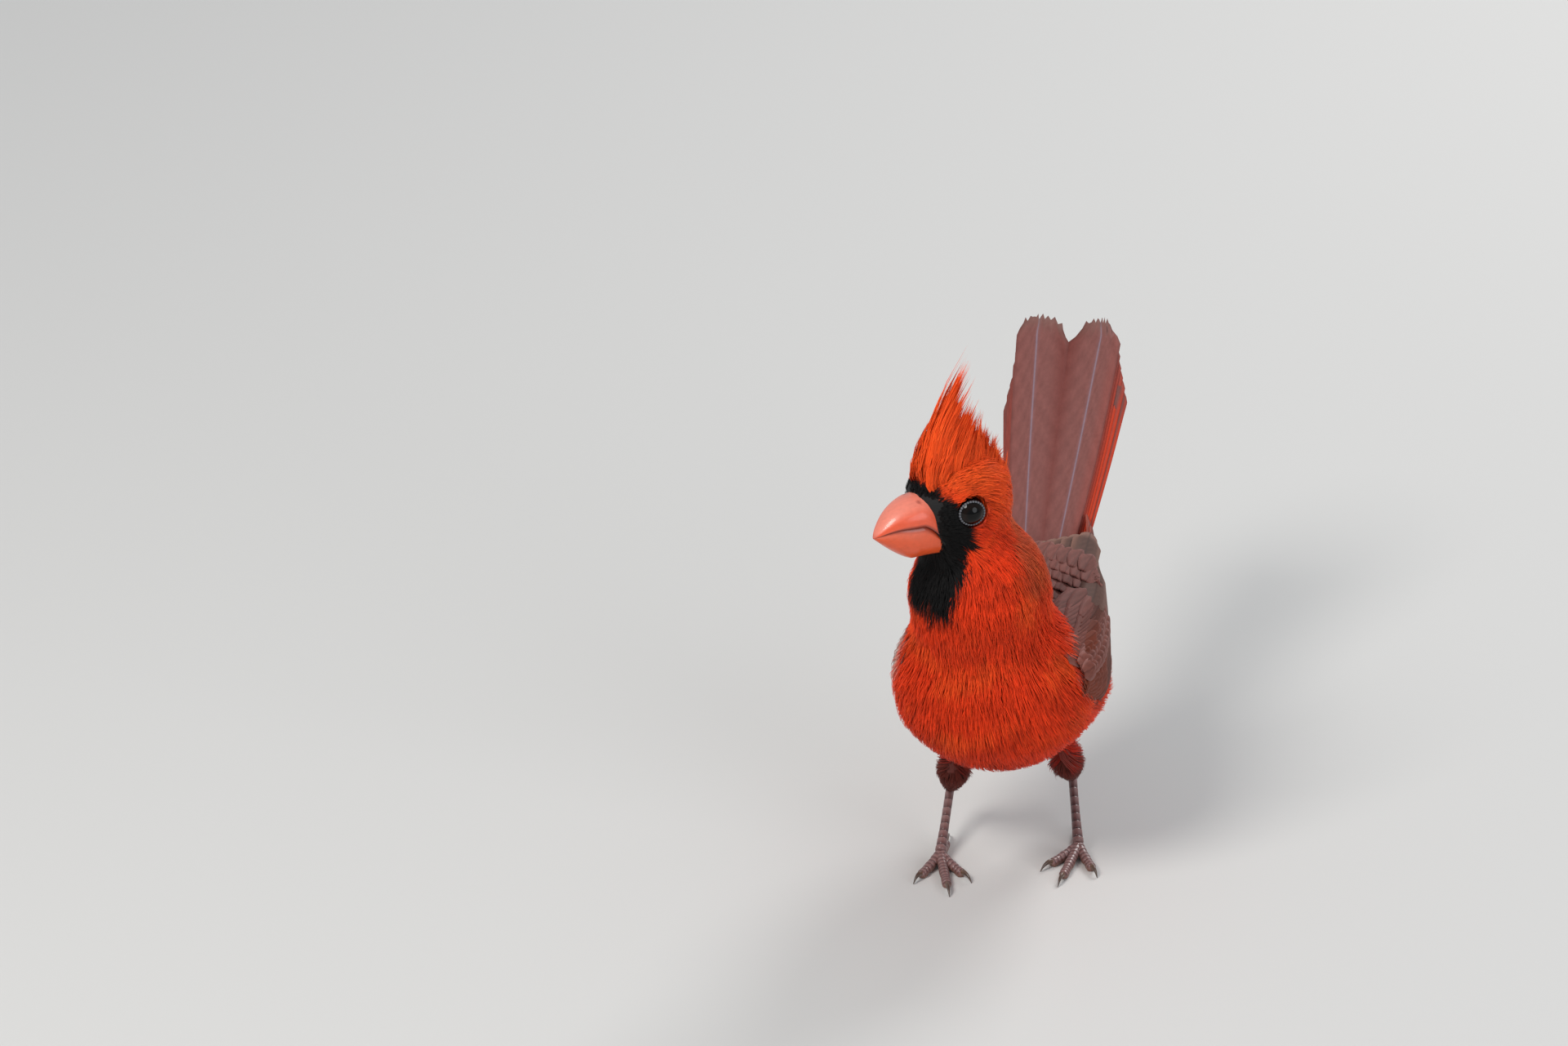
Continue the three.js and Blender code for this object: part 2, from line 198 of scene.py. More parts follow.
eye_low, eye_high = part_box("eye_left")
SHIFT = (np.array(eye_low) + np.array(eye_high)) / 2 / MM - in_head([EYE_OUT, 0, 0])


def to_row(p):
    """From the bird's frame in millimetres to the frame's metres."""
    return (np.asarray(p, float) + SHIFT) * MM


def from_row(p):
    return np.asarray(p, float) / MM - SHIFT


def curve_point(points, t):
    """A smooth line through points, at t from 0 to 1."""
    points = np.asarray(points, float)
    t = np.atleast_1d(np.asarray(t, float)) * (len(points) - 1)
    i = np.clip(t.astype(int), 0, len(points) - 2)
    s = (t - i)[:, None]
    padded = np.vstack([2 * points[0] - points[1], points, 2 * points[-1] - points[-2]])
    a, b, c, d = padded[i], padded[i + 1], padded[i + 2], padded[i + 3]
    cubic = 2 * b + (c - a) * s + (2 * a - 5 * b + 4 * c - d) * s**2 + (3 * b - a - 3 * c + d) * s**3
    return cubic / 2


def speckle(p, size, seed=0):
    """A cheap smooth noise from -1 to 1 that varies over size millimetres."""
    q = np.asarray(p, float) / size + seed * 7.31
    wave = np.sin(q[..., 0] * 1.7 + 2.1 * np.sin(q[..., 1] * 1.3 + q[..., 2] * 0.7))
    wave += np.sin(q[..., 1] * 2.3 + 1.7 * np.sin(q[..., 2] * 1.9 - q[..., 0] * 1.1))
    wave += np.sin(q[..., 2] * 2.9 + 1.3 * np.sin(q[..., 0] * 2.3 + q[..., 1]))
    return wave / 3


# Meshes and materials


def add_object(name, data):
    thing = bpy.data.objects.new(name, data)
    bpy.context.scene.collection.objects.link(thing)
    return thing


def apply_modifiers(thing):
    """Replaces a thing's mesh by what its modifiers make of it."""
    graph = bpy.context.evaluated_depsgraph_get()
    done = bpy.data.meshes.new_from_object(thing.evaluated_get(graph))
    thing.modifiers.clear()
    old, thing.data = thing.data, done
    bpy.data.meshes.remove(old)
    return done


def make_mesh(name, points, faces, colours):
    """Makes an object from points in the bird's frame and faces given as lists of point numbers."""
    mesh = bpy.data.meshes.new(name)
    mesh.from_pydata(to_row(points).tolist(), [], faces)
    paint(mesh, colours)
    mesh.shade_smooth()
    return add_object(name, mesh)


def paint(mesh, colours):
    """Stores a colour for each point in the marking."""
    layer = mesh.color_attributes.new("Marking", "FLOAT_COLOR", "POINT")
    colours = np.asarray(colours, float)
    filled = np.hstack([colours, np.ones((len(colours), 1))])
    layer.data.foreach_set("color", filled.astype(np.float32).ravel())


def join_parts(parts):
    """Joins (points, faces, colours) parts into one."""
    points, faces, colours = [], [], []
    start = 0
    for part_points, part_faces, part_colours in parts:
        points.append(part_points)
        colours.append(part_colours)
        faces += [[i + start for i in face] for face in part_faces]
        start += len(part_points)
    return np.vstack(points), faces, np.vstack(colours)


def grid_faces(rows, columns, loop_rows=False, loop_columns=False, flip=False):
    """The faces between points listed row by row. flip turns them to face the other way."""
    faces = []
    for i in range(rows if loop_rows else rows - 1):
        here, after = i * columns, (i + 1) % rows * columns
        for j in range(columns if loop_columns else columns - 1):
            k = (j + 1) % columns
            face = [here + j, after + j, after + k, here + k]
            faces.append(face[:1] + face[:0:-1] if flip else face)
    return faces


def finish_piece(piece, material, slot, *nodes):
    """Gives a piece its material, says what it rides on, and which nodes it stands for. The slot argument is
    not used.
    """
    piece.data.materials.append(material)
    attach(piece, "root")
    if nodes:
        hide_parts(*nodes)


def surface_material(
    name, roughness, grain_scale, relief, vary=0.12, sheen=0.0, coat=0.0, specular=0.5, stretch=(1, 1, 1)
):
    """A material coloured by the marking, with a fine grain in its colour and its relief."""
    material = bpy.data.materials.new(name)
    material.use_nodes = True
    nodes, links = material.node_tree.nodes, material.node_tree.links

    def node(kind, **values):
        made = nodes.new("ShaderNode" + kind)
        for socket, value in values.items():
            made.inputs[socket.replace("_", " ")].default_value = value
        return made

    marking = node("VertexColor")
    marking.layer_name = "Marking"
    coordinates = node("TexCoord")
    scaling = node("Mapping", Scale=stretch)
    grain = node("TexNoise", Scale=grain_scale, Detail=4)
    shades = node("MapRange", To_Min=1 - vary, To_Max=1 + vary)
    tinted = node("VectorMath")
    tinted.operation = "SCALE"
    bump = node("Bump", Distance=relief, Strength=0.8)
    shader = nodes["Principled BSDF"]
    links.new(coordinates.outputs["Object"], scaling.inputs["Vector"])
    links.new(scaling.outputs["Vector"], grain.inputs["Vector"])
    links.new(grain.outputs["Fac"], shades.inputs["Value"])
    links.new(marking.outputs["Color"], tinted.inputs[0])
    links.new(shades.outputs["Result"], tinted.inputs["Scale"])
    links.new(tinted.outputs["Vector"], shader.inputs["Base Color"])
    links.new(grain.outputs["Fac"], bump.inputs["Height"])
    links.new(bump.outputs["Normal"], shader.inputs["Normal"])
    shader.inputs["Roughness"].default_value = roughness
    shader.inputs["Sheen Weight"].default_value = sheen
    shader.inputs["Coat Weight"].default_value = coat
    shader.inputs["Coat Roughness"].default_value = 0.12
    shader.inputs["Specular IOR Level"].default_value = specular
    return material


# Skin: the solids of the body joined, made into one surface and sunk by the depth of the coat

SKIN_NODES = ["head", "neck", "trunk", "thigh_left", "thigh_right", "wing_left", "wing_right"]
SWELL = 0.45
VOXEL = 0.85
# What the smoothing takes off the thin feathered shanks, and is given back to them
SHANK_REGAIN = 1.1
# How far back the wings are part of the skin
WING_SKIN_END = 28.0
# The coverts that fill the space under the tail's root, in the tail's own directions
UNDER_TAIL_PLACE = np.array([0, 4, -5.6])
UNDER_TAIL_SIZE = np.array([9.5, 22, 4.4])
# How far the surface goes out, and back in again, to close the groove between the wings and the body
GROOVE = 3.2


def joined_solids(names):
    """The solids in one mesh, swelled a little to close the gaps. The wings end where the trunk narrows."""
    bm = bmesh.new()
    for name in names:
        one = bmesh.new()
        one.from_mesh(frame["nodes"][name].data)
        if name.startswith("wing"):
            everything = one.verts[:] + one.edges[:] + one.faces[:]
            cut = {"plane_co": to_row([0, WING_SKIN_END, 0]), "plane_no": (0, 1, 0), "clear_outer": True}
            bmesh.ops.bisect_plane(one, geom=everything, **cut)
            bmesh.ops.holes_fill(one, edges=one.edges[:])
        piece = bpy.data.meshes.new(name + "_flesh")
        one.to_mesh(piece)
        one.free()
        bm.from_mesh(piece)
        bpy.data.meshes.remove(piece)
    under_tail = bmesh.ops.create_icosphere(bm, subdivisions=4, radius=1.0)["verts"]
    for vertex in under_tail:
        vertex.co = to_row(in_tail(np.array(vertex.co) * UNDER_TAIL_SIZE + UNDER_TAIL_PLACE))
    bmesh.ops.remove_doubles(bm, verts=bm.verts, dist=1e-6)
    bmesh.ops.recalc_face_normals(bm, faces=bm.faces)
    bm.normal_update()
    for vertex in bm.verts:
        vertex.co += vertex.normal * SWELL * MM
    mesh = bpy.data.meshes.new("skin")
    bm.to_mesh(mesh)
    bm.free()
    return mesh


def from_face(p):
    """Millimetres from the middle of the face."""
    return np.linalg.norm(to_head(p) - FACE_CENTRE, axis=1)


def coat_depth(p):
    """How far the skin lies under the outline, in millimetres."""
    depth = 0.5 + 1.0 * ramp(from_face(p), 6, 22)
    depth += 0.9 * (1 - ramp(p[:, 2], 78, 100))
    legs = 1 - ramp(p[:, 2], 22, 32)
    return depth * (1 - 0.65 * legs)


def read_points(mesh, what="co"):
    """The places of a mesh's points in metres, or their normals."""
    values = np.empty(len(mesh.vertices) * 3, np.float32)
    mesh.vertices.foreach_get(what, values)
    return values.reshape(-1, 3)


def move_points(mesh, distance):
    """Moves each point of a mesh along its normal, by a distance in millimetres found at its place."""
    points = from_row(read_points(mesh))
    points += read_points(mesh, "normal") * distance(points)[:, None]
    mesh.vertices.foreach_set("co", to_row(points).astype(np.float32).ravel())
    mesh.update()
    return points


def remeshed(thing, smoothing):
    """One closed surface of small even faces round everything that thing holds."""
    remesh = thing.modifiers.new("one_surface", "REMESH")
    remesh.mode = "VOXEL"
    remesh.voxel_size = VOXEL * MM
    if smoothing:
        soften = thing.modifiers.new("soften", "SMOOTH")
        soften.factor = 0.6
        soften.iterations = smoothing
    return apply_modifiers(thing)


def groove_fill(p):
    """The groove's share at each point, in millimetres."""
    beside = ramp(p[:, 2], 40, 48) * (1 - ramp(p[:, 2], 84, 90))
    return GROOVE * beside


def skin_settle(p):
    """How far the smoothed outline moves: out on the shanks, and in by the depth of the coat."""
    return SHANK_REGAIN * (1 - ramp(p[:, 2], 20, 28)) - coat_depth(p) - SWELL * 0.8


def make_skin():
    skin = add_object("skin", joined_solids(SKIN_NODES))
    remeshed(skin, 2)
    move_points(skin.data, groove_fill)
    remeshed(skin, 3)
    move_points(skin.data, lambda p: -groove_fill(p))
    mesh = remeshed(skin, 8)
    points = move_points(mesh, skin_settle)
    mesh.shade_smooth()
    unwrap(skin)
    paint(skin.data, marking(points))
    look = surface_material("skin_look", 0.8, 700, 0.0002, vary=0.15)
    finish_piece(skin, look, "body_feathers", "head", "neck", "trunk", "thigh_left", "thigh_right")
    return skin, points


def unwrap(thing):
    """Unwraps the skin's own shape into the map that the coat shares."""
    thing.data.uv_layers.new(name="OFBake")
    for other in bpy.context.view_layer.objects.selected:
        other.select_set(False)
    thing.select_set(True)
    bpy.context.view_layer.objects.active = thing
    bpy.ops.object.mode_set(mode="EDIT")
    bpy.ops.mesh.select_all(action="SELECT")
    bpy.ops.uv.smart_project(angle_limit=math.radians(66), island_margin=0.004)
    bpy.ops.object.mode_set(mode="OBJECT")
    thing.select_set(False)


# Markings


def neck_angle(p):
    """Degrees round the neck from the line under the bill."""
    share = np.clip((HEAD_CENTRE[2] - p[:, 2]) / 30, 0, 1.6)[:, None]
    axis = HEAD_CENTRE[:2] * (1 - share) + np.array([-6, -16.5]) * share
    around = p[:, :2] - axis
    forward = in_head([0, -1, 0])[:2] - HEAD_CENTRE[:2]
    left = in_head([1, 0, 0])[:2] - HEAD_CENTRE[:2]
    return np.degrees(np.arctan2(np.abs(around @ left), around @ forward))


def mask_share(p):
    """1 on the black of the face and bib, 0 off it, with a frayed edge."""
    own = to_head(p)
    back, up = own[:, 1], own[:, 2]
    fray = 0.9 * speckle(p, 1.1, 3) + 0.7 * speckle(p, 2.6, 4)
    edge_back = np.interp(up, [-14, -10, -5, -2, 1.2, 3, 5.5], [-2.6, -2.6, -1.8, -2.2, -4.0, -6.0, -8.2])
    face = ramp(edge_back - back + fray, -0.6, 0.6) * ramp(6.0 - up + fray * 0.4, -0.5, 0.5)
    width = np.interp(up, [-28, -23, -16, -11], [26, 37, 46, 50])
    bib = ramp(width - neck_angle(p) + fray * 6, -4, 4) * ramp(up + 27.5 + fray * 2.4, -1.5, 1.5)
    return np.where(up > -11, face, np.maximum(face * (up > -15), bib))


def trunk_side(p):
    """Millimetres from the middle plane of the trunk."""
    return np.abs(p[:, 0] - TRUNK_MIDDLE_X)


def back_share(p):
    """1 on the mantle, from the nape to the rump, and 0 on the breast."""
    limit = np.interp(p[:, 2], [56, 66, 76, 86, 96], [-2, -8, -2, 2, 6])
    limit = limit - 0.35 * np.maximum(trunk_side(p) - 10, 0)
    before_rump = 1 - ramp(p[:, 1], 20, 28)
    above = ramp(p[:, 1] - limit, -2.5, 2.5) * ramp(p[:, 2], 58, 62)
    return above * (1 - ramp(p[:, 2], 88, 96)) * before_rump


def wing_front(p):
    """Millimetres behind the front edge of the folded wing."""
    return p[:, 1] - np.interp(p[:, 2], [48, 56, 66, 74], [-6, -13, -17, -14])


def wing_share(p):
    """1 on the folded wings."""
    inside = ramp(trunk_side(p), 13.5, 16) * ramp(wing_front(p), -1.5, 1.5)
    return inside * ramp(p[:, 2], 49.5, 52.5) * (1 - ramp(p[:, 2], 75, 78))


def marking(p):
    """The colour of the coat and the skin at each point, with painted orange highlights in random patches.
    """
    own = to_head(p)
    colour = mix(BREAST_RED, BELLY_RED, 1 - ramp(p[:, 2] + 3 * speckle(p, 7, 1), 29, 50))
    colour = mix(colour, CREST_RED, ramp(own[:, 2] + 0.5 * own[:, 1], -4, 7) * ramp(p[:, 2], 96, 108))
    colour = mix(colour, MANTLE_ROSE, back_share(p))
    rear = ramp(p[:, 1], 24, 36) * ramp(p[:, 2], 40, 48)
    under = 1 - ramp(p[:, 2] - 0.55 * (p[:, 1] - TAIL_ROOT[1]) - TAIL_ROOT[2], -7, -2)
    colour = mix(colour, mix(RUMP_RED, VENT_RED, under), rear)
    nape = ramp(own[:, 1], 8, 13) * (1 - ramp(own[:, 2], -1, 4)) * ramp(p[:, 2], 86, 96)
    colour = mix(colour, NAPE_BROWN, nape * (0.5 + 0.3 * speckle(p, 3, 2)))
    colour = mix(colour, COVERT_BROWN, wing_share(p))
    pale = np.exp(-((wing_front(p) / 1.6) ** 2)) * ramp(p[:, 2], 58, 62) * (1 - ramp(p[:, 2], 71, 75))
    colour = mix(colour, PALE_FRINGE, pale * ramp(trunk_side(p), 12, 15) * 0.8)
    colour = mix(colour, THIGH_RED, 1 - ramp(p[:, 2] + speckle(p, 2, 7), 26, 31))
    spots = ramp(speckle(p, 2.4, 9), 0.62, 0.8) * (1 - ramp(p[:, 2], 34, 44))
    colour = mix(colour, SPOT_GREY, spots * 0.7)
    # Random orange patches above the belly, away from the back, wings and rear: painted highlights.
    orange_highlight = ramp(speckle(p, 8, 11) + 0.4 * speckle(p, 2.5, 12), 0.15, 0.9)
    orange_highlight = orange_highlight * ramp(p[:, 2], 34, 50) * (1 - back_share(p))
    colour = mix(colour, HIGHLIGHT_ORANGE, orange_highlight * 0.45 * (1 - wing_share(p)) * (1 - rear))
    colour = colour * (1 + 0.14 * speckle(p, 5, 5) + 0.10 * speckle(p, 1.7, 6))[:, None]
    return np.clip(mix(colour, MASK_BLACK, mask_share(p)), 0, 1)


# The lie of the coat follows a line from the bill through the neck and trunk to the tail

LIE_LINE = np.vstack(
    [
        in_head([0, -16, -3]),
        in_head([0, -4, 1]),
        in_head([0, 8, -4]),
        [-7, -12, 96],
        [-5, -12, 80],
        [-3, -6, 64],
        [-1.5, 12, 55],
        [-0.8, 34, 54],
        [-0.6, 62, 66],
    ]
)
LIE_POINTS = curve_point(LIE_LINE, np.linspace(0, 1, 60))
LIE_DIRECTIONS = unit(np.gradient(LIE_POINTS, axis=0))
LIE_REACH = 6.0
SHANK_LIE = np.array([0, 0.66, -0.75])


def shank_share(p):
    """1 on the feathered shanks, 0 on the belly."""
    return 1 - ramp(p[:, 2], 22, 30)


def lie(p, normals):
    """Which way the coat lies at each point, along the surface."""
    apart = ((p[:, None, :] - LIE_POINTS[None]) ** 2).sum(2)
    weight = np.exp(-(apart - apart.min(1, keepdims=True)) / (2 * LIE_REACH**2))
    direction = (weight[:, :, None] * LIE_DIRECTIONS[None]).sum(1)
    shank = shank_share(p)[:, None]
    direction = unit(direction) * (1 - shank) + SHANK_LIE * shank
    direction = direction - (direction * normals).sum(1, keepdims=True) * normals
    return unit(direction + 1e-6)


# How many places are tried for each root that is wanted
TRIES_PER_ROOT = 3.2


class Surface:
    """Finds the nearest point of the skin."""

    def __init__(self, skin, points):
        mesh = skin.data
        faces = [tuple(face.vertices) for face in mesh.polygons]
        self.tree = bvhtree.BVHTree.FromPolygons(points.tolist(), faces)
        self.corners = np.array([face[:3] for face in faces])
        self.fourth = np.array([face[3] if len(face) > 3 else face[2] for face in faces])
        self.points = points
        self.vertex_normals = read_points(mesh, "normal")
        uv = np.empty(len(mesh.loops) * 2, np.float32)
        mesh.uv_layers["OFBake"].data.foreach_get("uv", uv)
        self.face_uv = uv.reshape(-1, 2)[[face.loop_start for face in mesh.polygons]]

    def nearest(self, p):
        """The nearest points on the skin, with smooth normals and the numbers of their faces."""
        found = [self.tree.find_nearest(q) for q in p.tolist()]
        spots = np.array([f[0] for f in found])
        index = np.array([f[2] for f in found])
        return spots, unit(self.vertex_normals[self.corners[index]].mean(1)), index

    def scatter(self, spacing):
        """Roots spread evenly, spacing(p) millimetres apart."""
        a, b, c = (self.points[self.corners[:, k]] for k in range(3))
        d = self.points[self.fourth]
        area = np.linalg.norm(np.cross(b - a, c - a), axis=1)
        area = area + np.linalg.norm(np.cross(c - a, d - a), axis=1)
        gap = spacing((a + c) / 2)
        wanted = np.maximum(gap, 0.1)
        chance = area / wanted**2
        chance[gap <= 0] = 0
        tries = int(chance.sum() * TRIES_PER_ROOT)
        pick = rng.choice(len(area), tries, p=chance / chance.sum())
        u, v = rng.random(tries)[:, None], rng.random(tries)[:, None]
        spots = (a[pick] * (1 - u) + b[pick] * u) * (1 - v) + (d[pick] * (1 - u) + c[pick] * u) * v
        return spots[spaced_out(spots, wanted[pick])]


def spaced_out(spots, gaps):
    """The numbers of the spots that are no nearer than their gaps to one kept before."""
    cells = {}
    kept = []
    keys = np.floor(spots / float(gaps.max())).astype(int)
    for i in range(len(spots)):
        x, y, z = keys[i]
        near = [
            j
            for dx in (-1, 0, 1)
            for dy in (-1, 0, 1)
            for dz in (-1, 0, 1)
            for j in cells.get((x + dx, y + dy, z + dz), ())
        ]
        if near and (((spots[near] - spots[i]) ** 2).sum(1) < gaps[i] ** 2 * 0.75).any():
            continue
        cells.setdefault((x, y, z), []).append(i)
        kept.append(i)
    return np.array(kept)


# Tufts: fine barbs that leave one root together. Each barb is three rows of three points, and a tip.

LINE_STEPS = 4
BARBS_PER_TUFT = 14
BARB_POINTS = 10
BARB_STATIONS = np.array([0.0, 0.4, 0.75, 1.0])
BARB_WIDTHS = np.array([0.75, 1.0, 0.62])
# How bright each point is, from 0 as at the root to 1 as at the tip, and its place in the tuft's patch
BARB_SHADES = np.array([0, 0, 0, 0.5, 0.5, 0.5, 0.85, 0.85, 0.85, 1.0])
BARB_PATCH_U = np.array([-1, 0, 1, -1, 0, 1, -1, 0, 1, 0]) * 0.4
BARB_PATCH_V = np.array([-0.5, -0.5, -0.5, -0.1, -0.1, -0.1, 0.25, 0.25, 0.25, 0.5])
TUFT_PATCH = 0.003


def tuft_lines(surface, roots, lengths, lean=None):
    """Follows the skin from each root along the lie, and gives the line's points, normals and directions."""
    spots, normals, index = surface.nearest(roots)
    points, outward, ways = [spots], [normals], [lie(spots, normals)]
    for _ in range(LINE_STEPS):
        way = ways[-1] if lean is None else unit(ways[-1] + lean)
        ahead = points[-1] + way * (lengths / LINE_STEPS)[:, None]
        spot, normal, _ = surface.nearest(ahead)
        drift = ((ahead - spot) * normal).sum(1, keepdims=True)
        points.append(spot + normal * np.clip(drift, 0, 0.5) * 0.4)
        outward.append(unit(outward[-1] * 0.5 + normal * 0.5))
        ways.append(unit(ways[-1] * 0.5 + lie(spot, normal) * 0.5))
    return np.stack(points, 1), np.stack(outward, 1), np.stack(ways, 1), index


def along(lines, t):
    """Reads lines (tufts, steps, 3) at t (tufts, barbs, stations)."""
    place = np.clip(t * LINE_STEPS, 0, LINE_STEPS - 1e-6)
    i = place.astype(int)
    s = (place - i)[..., None]
    tuft = np.arange(len(lines))[:, None, None]
    return lines[tuft, i] * (1 - s) + lines[tuft, i + 1] * s


def barbs(lines, outward, ways, spread, width, rise, loose):
    """Makes each tuft's barbs. rise is the height of the coat there, loose how far tips wander."""
    tufts = len(lines)
    shape = (tufts, BARBS_PER_TUFT)

    def for_each(value):
        """One value for all tufts, or one for each, ready to go with the barbs' stations."""
        return np.broadcast_to(value, (tufts,))[:, None, None]

    side = rng.uniform(-1, 1, shape)
    reach = rng.uniform(0.66, 1.0, shape) * (1 - 0.2 * np.abs(side))
    fan = side * 1.25 + rng.normal(0, 0.3, shape)
    t = BARB_STATIONS[None, None, :]
    read = reach[..., None] * t
    centre = along(lines, read)
    normal = unit(along(outward, read))
    way = unit(along(ways, read))
    across = unit(np.cross(normal, way))
    offset = for_each(spread) * (side[..., None] * 0.6 * (1 - t) + fan[..., None] * t)
    climb = 0.05 + 0.95 * ramp(t, -0.1, 0.75)
    height = for_each(rise) * climb * rng.uniform(0.72, 1.18, shape)[..., None]
    height = height + for_each(loose) * t**2 * rng.uniform(-0.1, 1, shape)[..., None]
    wander = for_each(loose) * t**2 * rng.normal(0, 0.6, shape)[..., None]
    centre = centre + across * (offset + wander)[..., None] + normal * height[..., None]
    half = for_each(width) * rng.uniform(0.7, 1.25, shape)[..., None] * BARB_WIDTHS[None, None, :] / 2
    first = centre[:, :, :3]
    sideways = across[:, :, :3] * half[..., None]
    ridge = first + normal[:, :, :3] * half[..., None] * 0.7
    body = np.stack([first - sideways, ridge, first + sideways], 3)
    return np.concatenate([body.reshape(*shape, BARB_POINTS - 1, 3), centre[:, :, 3:4]], 2)


def barb_faces(count):
    """The faces of count barbs: two sides in two lengths, and the tip."""
    quads = [[k + side, k + side + 1, k + side + 4, k + side + 3] for k in (0, 3) for side in (0, 1)]
    tips = [[6, 7, 9], [7, 8, 9]]
    start = (np.arange(count) * BARB_POINTS)[:, None]
    sizes = np.tile([4] * len(quads) + [3] * len(tips), count)
    return (start + np.array(sum(quads + tips, []))).ravel(), sizes


def make_coat(name, points, colours, uvs, material):
    """One coat piece from the points, colours and places in the unwrap of its tufts' barbs."""
    points = points.reshape(-1, 3)
    loops, sizes = barb_faces(len(points) // BARB_POINTS)
    mesh = bpy.data.meshes.new(name)
    mesh.vertices.add(len(points))
    mesh.vertices.foreach_set("co", to_row(points).astype(np.float32).ravel())
    mesh.loops.add(len(loops))
    mesh.loops.foreach_set("vertex_index", loops.astype(np.int32))
    mesh.polygons.add(len(sizes))
    starts = np.concatenate([[0], np.cumsum(sizes)[:-1]])
    mesh.polygons.foreach_set("loop_start", starts.astype(np.int32))
    layer = mesh.uv_layers.new(name="OFBake")
    layer.data.foreach_set("uv", uvs.reshape(-1, 2)[loops].astype(np.float32).ravel())
    mesh.update(calc_edges=True)
    paint(mesh, colours.reshape(-1, 3))
    mesh.shade_smooth()
    thing = add_object(name, mesh)
    finish_piece(thing, material, "body_feathers")
    return thing


def tuft_uvs(root_uv):
    """Puts each tuft in a small patch at its root's place on the skin's unwrap."""
    column = (np.arange(BARBS_PER_TUFT) + 0.5) / BARBS_PER_TUFT - 0.5
    offset = np.zeros((BARBS_PER_TUFT, BARB_POINTS, 2))
    offset[:, :, 0] = column[:, None] + BARB_PATCH_U[None] / BARBS_PER_TUFT
    offset[:, :, 1] = BARB_PATCH_V[None]
    return root_uv[:, None, None, :] + offset[None] * TUFT_PATCH


def barb_colours(root_colours, tip_gain=1.1, root_gain=0.76, vary=0.13):
    """Each barb goes from a darker root to a brighter tip."""
    tufts = len(root_colours)
    gain = 1 + rng.normal(0, vary * 0.4, (tufts, 1, 1)) + rng.normal(0, vary, (tufts, BARBS_PER_TUFT, 1))
    length_gain = root_gain + (tip_gain - root_gain) * BARB_SHADES
    colour = root_colours[:, None, None, :] * (gain[..., None] * length_gain[None, None, :, None])
    return np.clip(colour, 0.003, 1)


def near_eye(p, radius):
    """True where a point would lie over an eye."""
    own = to_head(p)
    own[..., 0] = np.abs(own[..., 0])
    axis = unit(EYE_AXIS)
    rel = own - np.array([EYE_OUT, 0, 0])
    out = rel @ axis
    apart = np.linalg.norm(rel - out[..., None] * axis, axis=-1)
    return (apart < radius) & (out > -2)


def near_bill(p, grow=0.0):
    """True where a point would lie inside the bill."""
    own = to_head(p)
    t = np.clip((own[..., 1] - BILL_ROOT) / (BILL_TIP - BILL_ROOT), 0, 1)
    ahead = own[..., 1] < BILL_ROOT - 2
    inside = (np.abs(own[..., 0]) < bill_half_width(t) + grow) & (own[..., 2] < bill_top(t) + grow)
    return ahead & inside & (own[..., 2] > bill_bottom(t) - grow)


def spacing(p):
    """Millimetres between tufts, or 0 where none grow."""
    gap = 0.85 + 0.55 * ramp(from_face(p), 7, 26)
    gap += 0.25 * (1 - ramp(p[:, 2], 76, 94))
    gap = gap * (1 - 0.35 * shank_share(p))
    gap[near_eye(p, 3.6)] = 0
    gap[near_bill(p)] = 0
    return gap


def tuft_length(p):
    """Millimetres from a tuft's root to its tips, before chance varies it."""
    from_brow = np.linalg.norm(to_head(p) - np.array([0, -10, 0]), axis=1)
    length = 2.0 + 6.2 * ramp(from_brow, 4, 26)
    length += 3.2 * (1 - ramp(p[:, 2], 74, 92))
    return length * (1 - 0.5 * shank_share(p))


# Where the coat stands off the body: place, size in millimetres, and how far
LOOSE_PLACES = [((-28, -7, 48), 5.0, 1.9), ((26, 0, 47), 5.0, 1.7), ((16, -17, 68), 3.5, 0.8)]


def looseness(p):
    """How far in millimetres the tips of a tuft may stand off or wander."""
    total = 0.10 + 0.3 * (0.5 + 0.5 * ramp(speckle(p, 9, 8), 0.2, 0.8))
    for place, size, amount in LOOSE_PLACES:
        apart = ((p - np.array(place)) ** 2).sum(1)
        total = total + amount * np.exp(-apart / (2 * size**2))
    return total


# Where one piece of the coat ends and the next begins
NECK_TOP = 99
NECK_BASE = 76
FACE_BACK = 2
BREAST_BACK = -8
REAR_FRONT = 18


def coat_regions(roots):
    """Which roots belong to each piece of the coat."""
    x, y, z = roots.T
    face = to_head(roots)[:, 1] < FACE_BACK
    low = z <= NECK_BASE
    flank = low & (y >= BREAST_BACK) & (y < REAR_FRONT)
    return {
        "coat_face": (z > NECK_TOP) & face,
        "coat_crown": (z > NECK_TOP) & ~face,
        "coat_neck": (z <= NECK_TOP) & ~low,
        "coat_breast": low & (y < BREAST_BACK),
        "coat_flank_right": flank & (x < 0),
        "coat_flank_left": flank & (x >= 0),
        "coat_rear": low & (y >= REAR_FRONT),
    }


def grow_coat(surface, material):
    """The coat of the whole body, in pieces by region."""
    roots = surface.scatter(spacing)
    lengths = tuft_length(roots) * rng.uniform(0.82, 1.18, len(roots))
    lines, outward, ways, index = tuft_lines(surface, roots, lengths, rng.normal(0, 0.08, (len(roots), 3)))
    clear = ~(near_eye(lines, 3.5).any(1) | near_bill(lines[:, 1:], -0.2).any(1))
    kept = [values[clear] for values in (roots, lengths, lines, outward, ways, index)]
    roots, lengths, lines, outward, ways, index = kept
    spread = 0.34 * spacing(roots) + 0.1 * lengths
    width = 0.15 + 0.010 * lengths
    made = barbs(lines, outward, ways, spread, width, coat_depth(roots) * 0.95, looseness(roots))
    colours = barb_colours(marking(roots))
    uvs = tuft_uvs(surface.face_uv[index])
    for name, chosen in coat_regions(roots).items():
        make_coat(name, made[chosen], colours[chosen], uvs[chosen], material)


# Bill


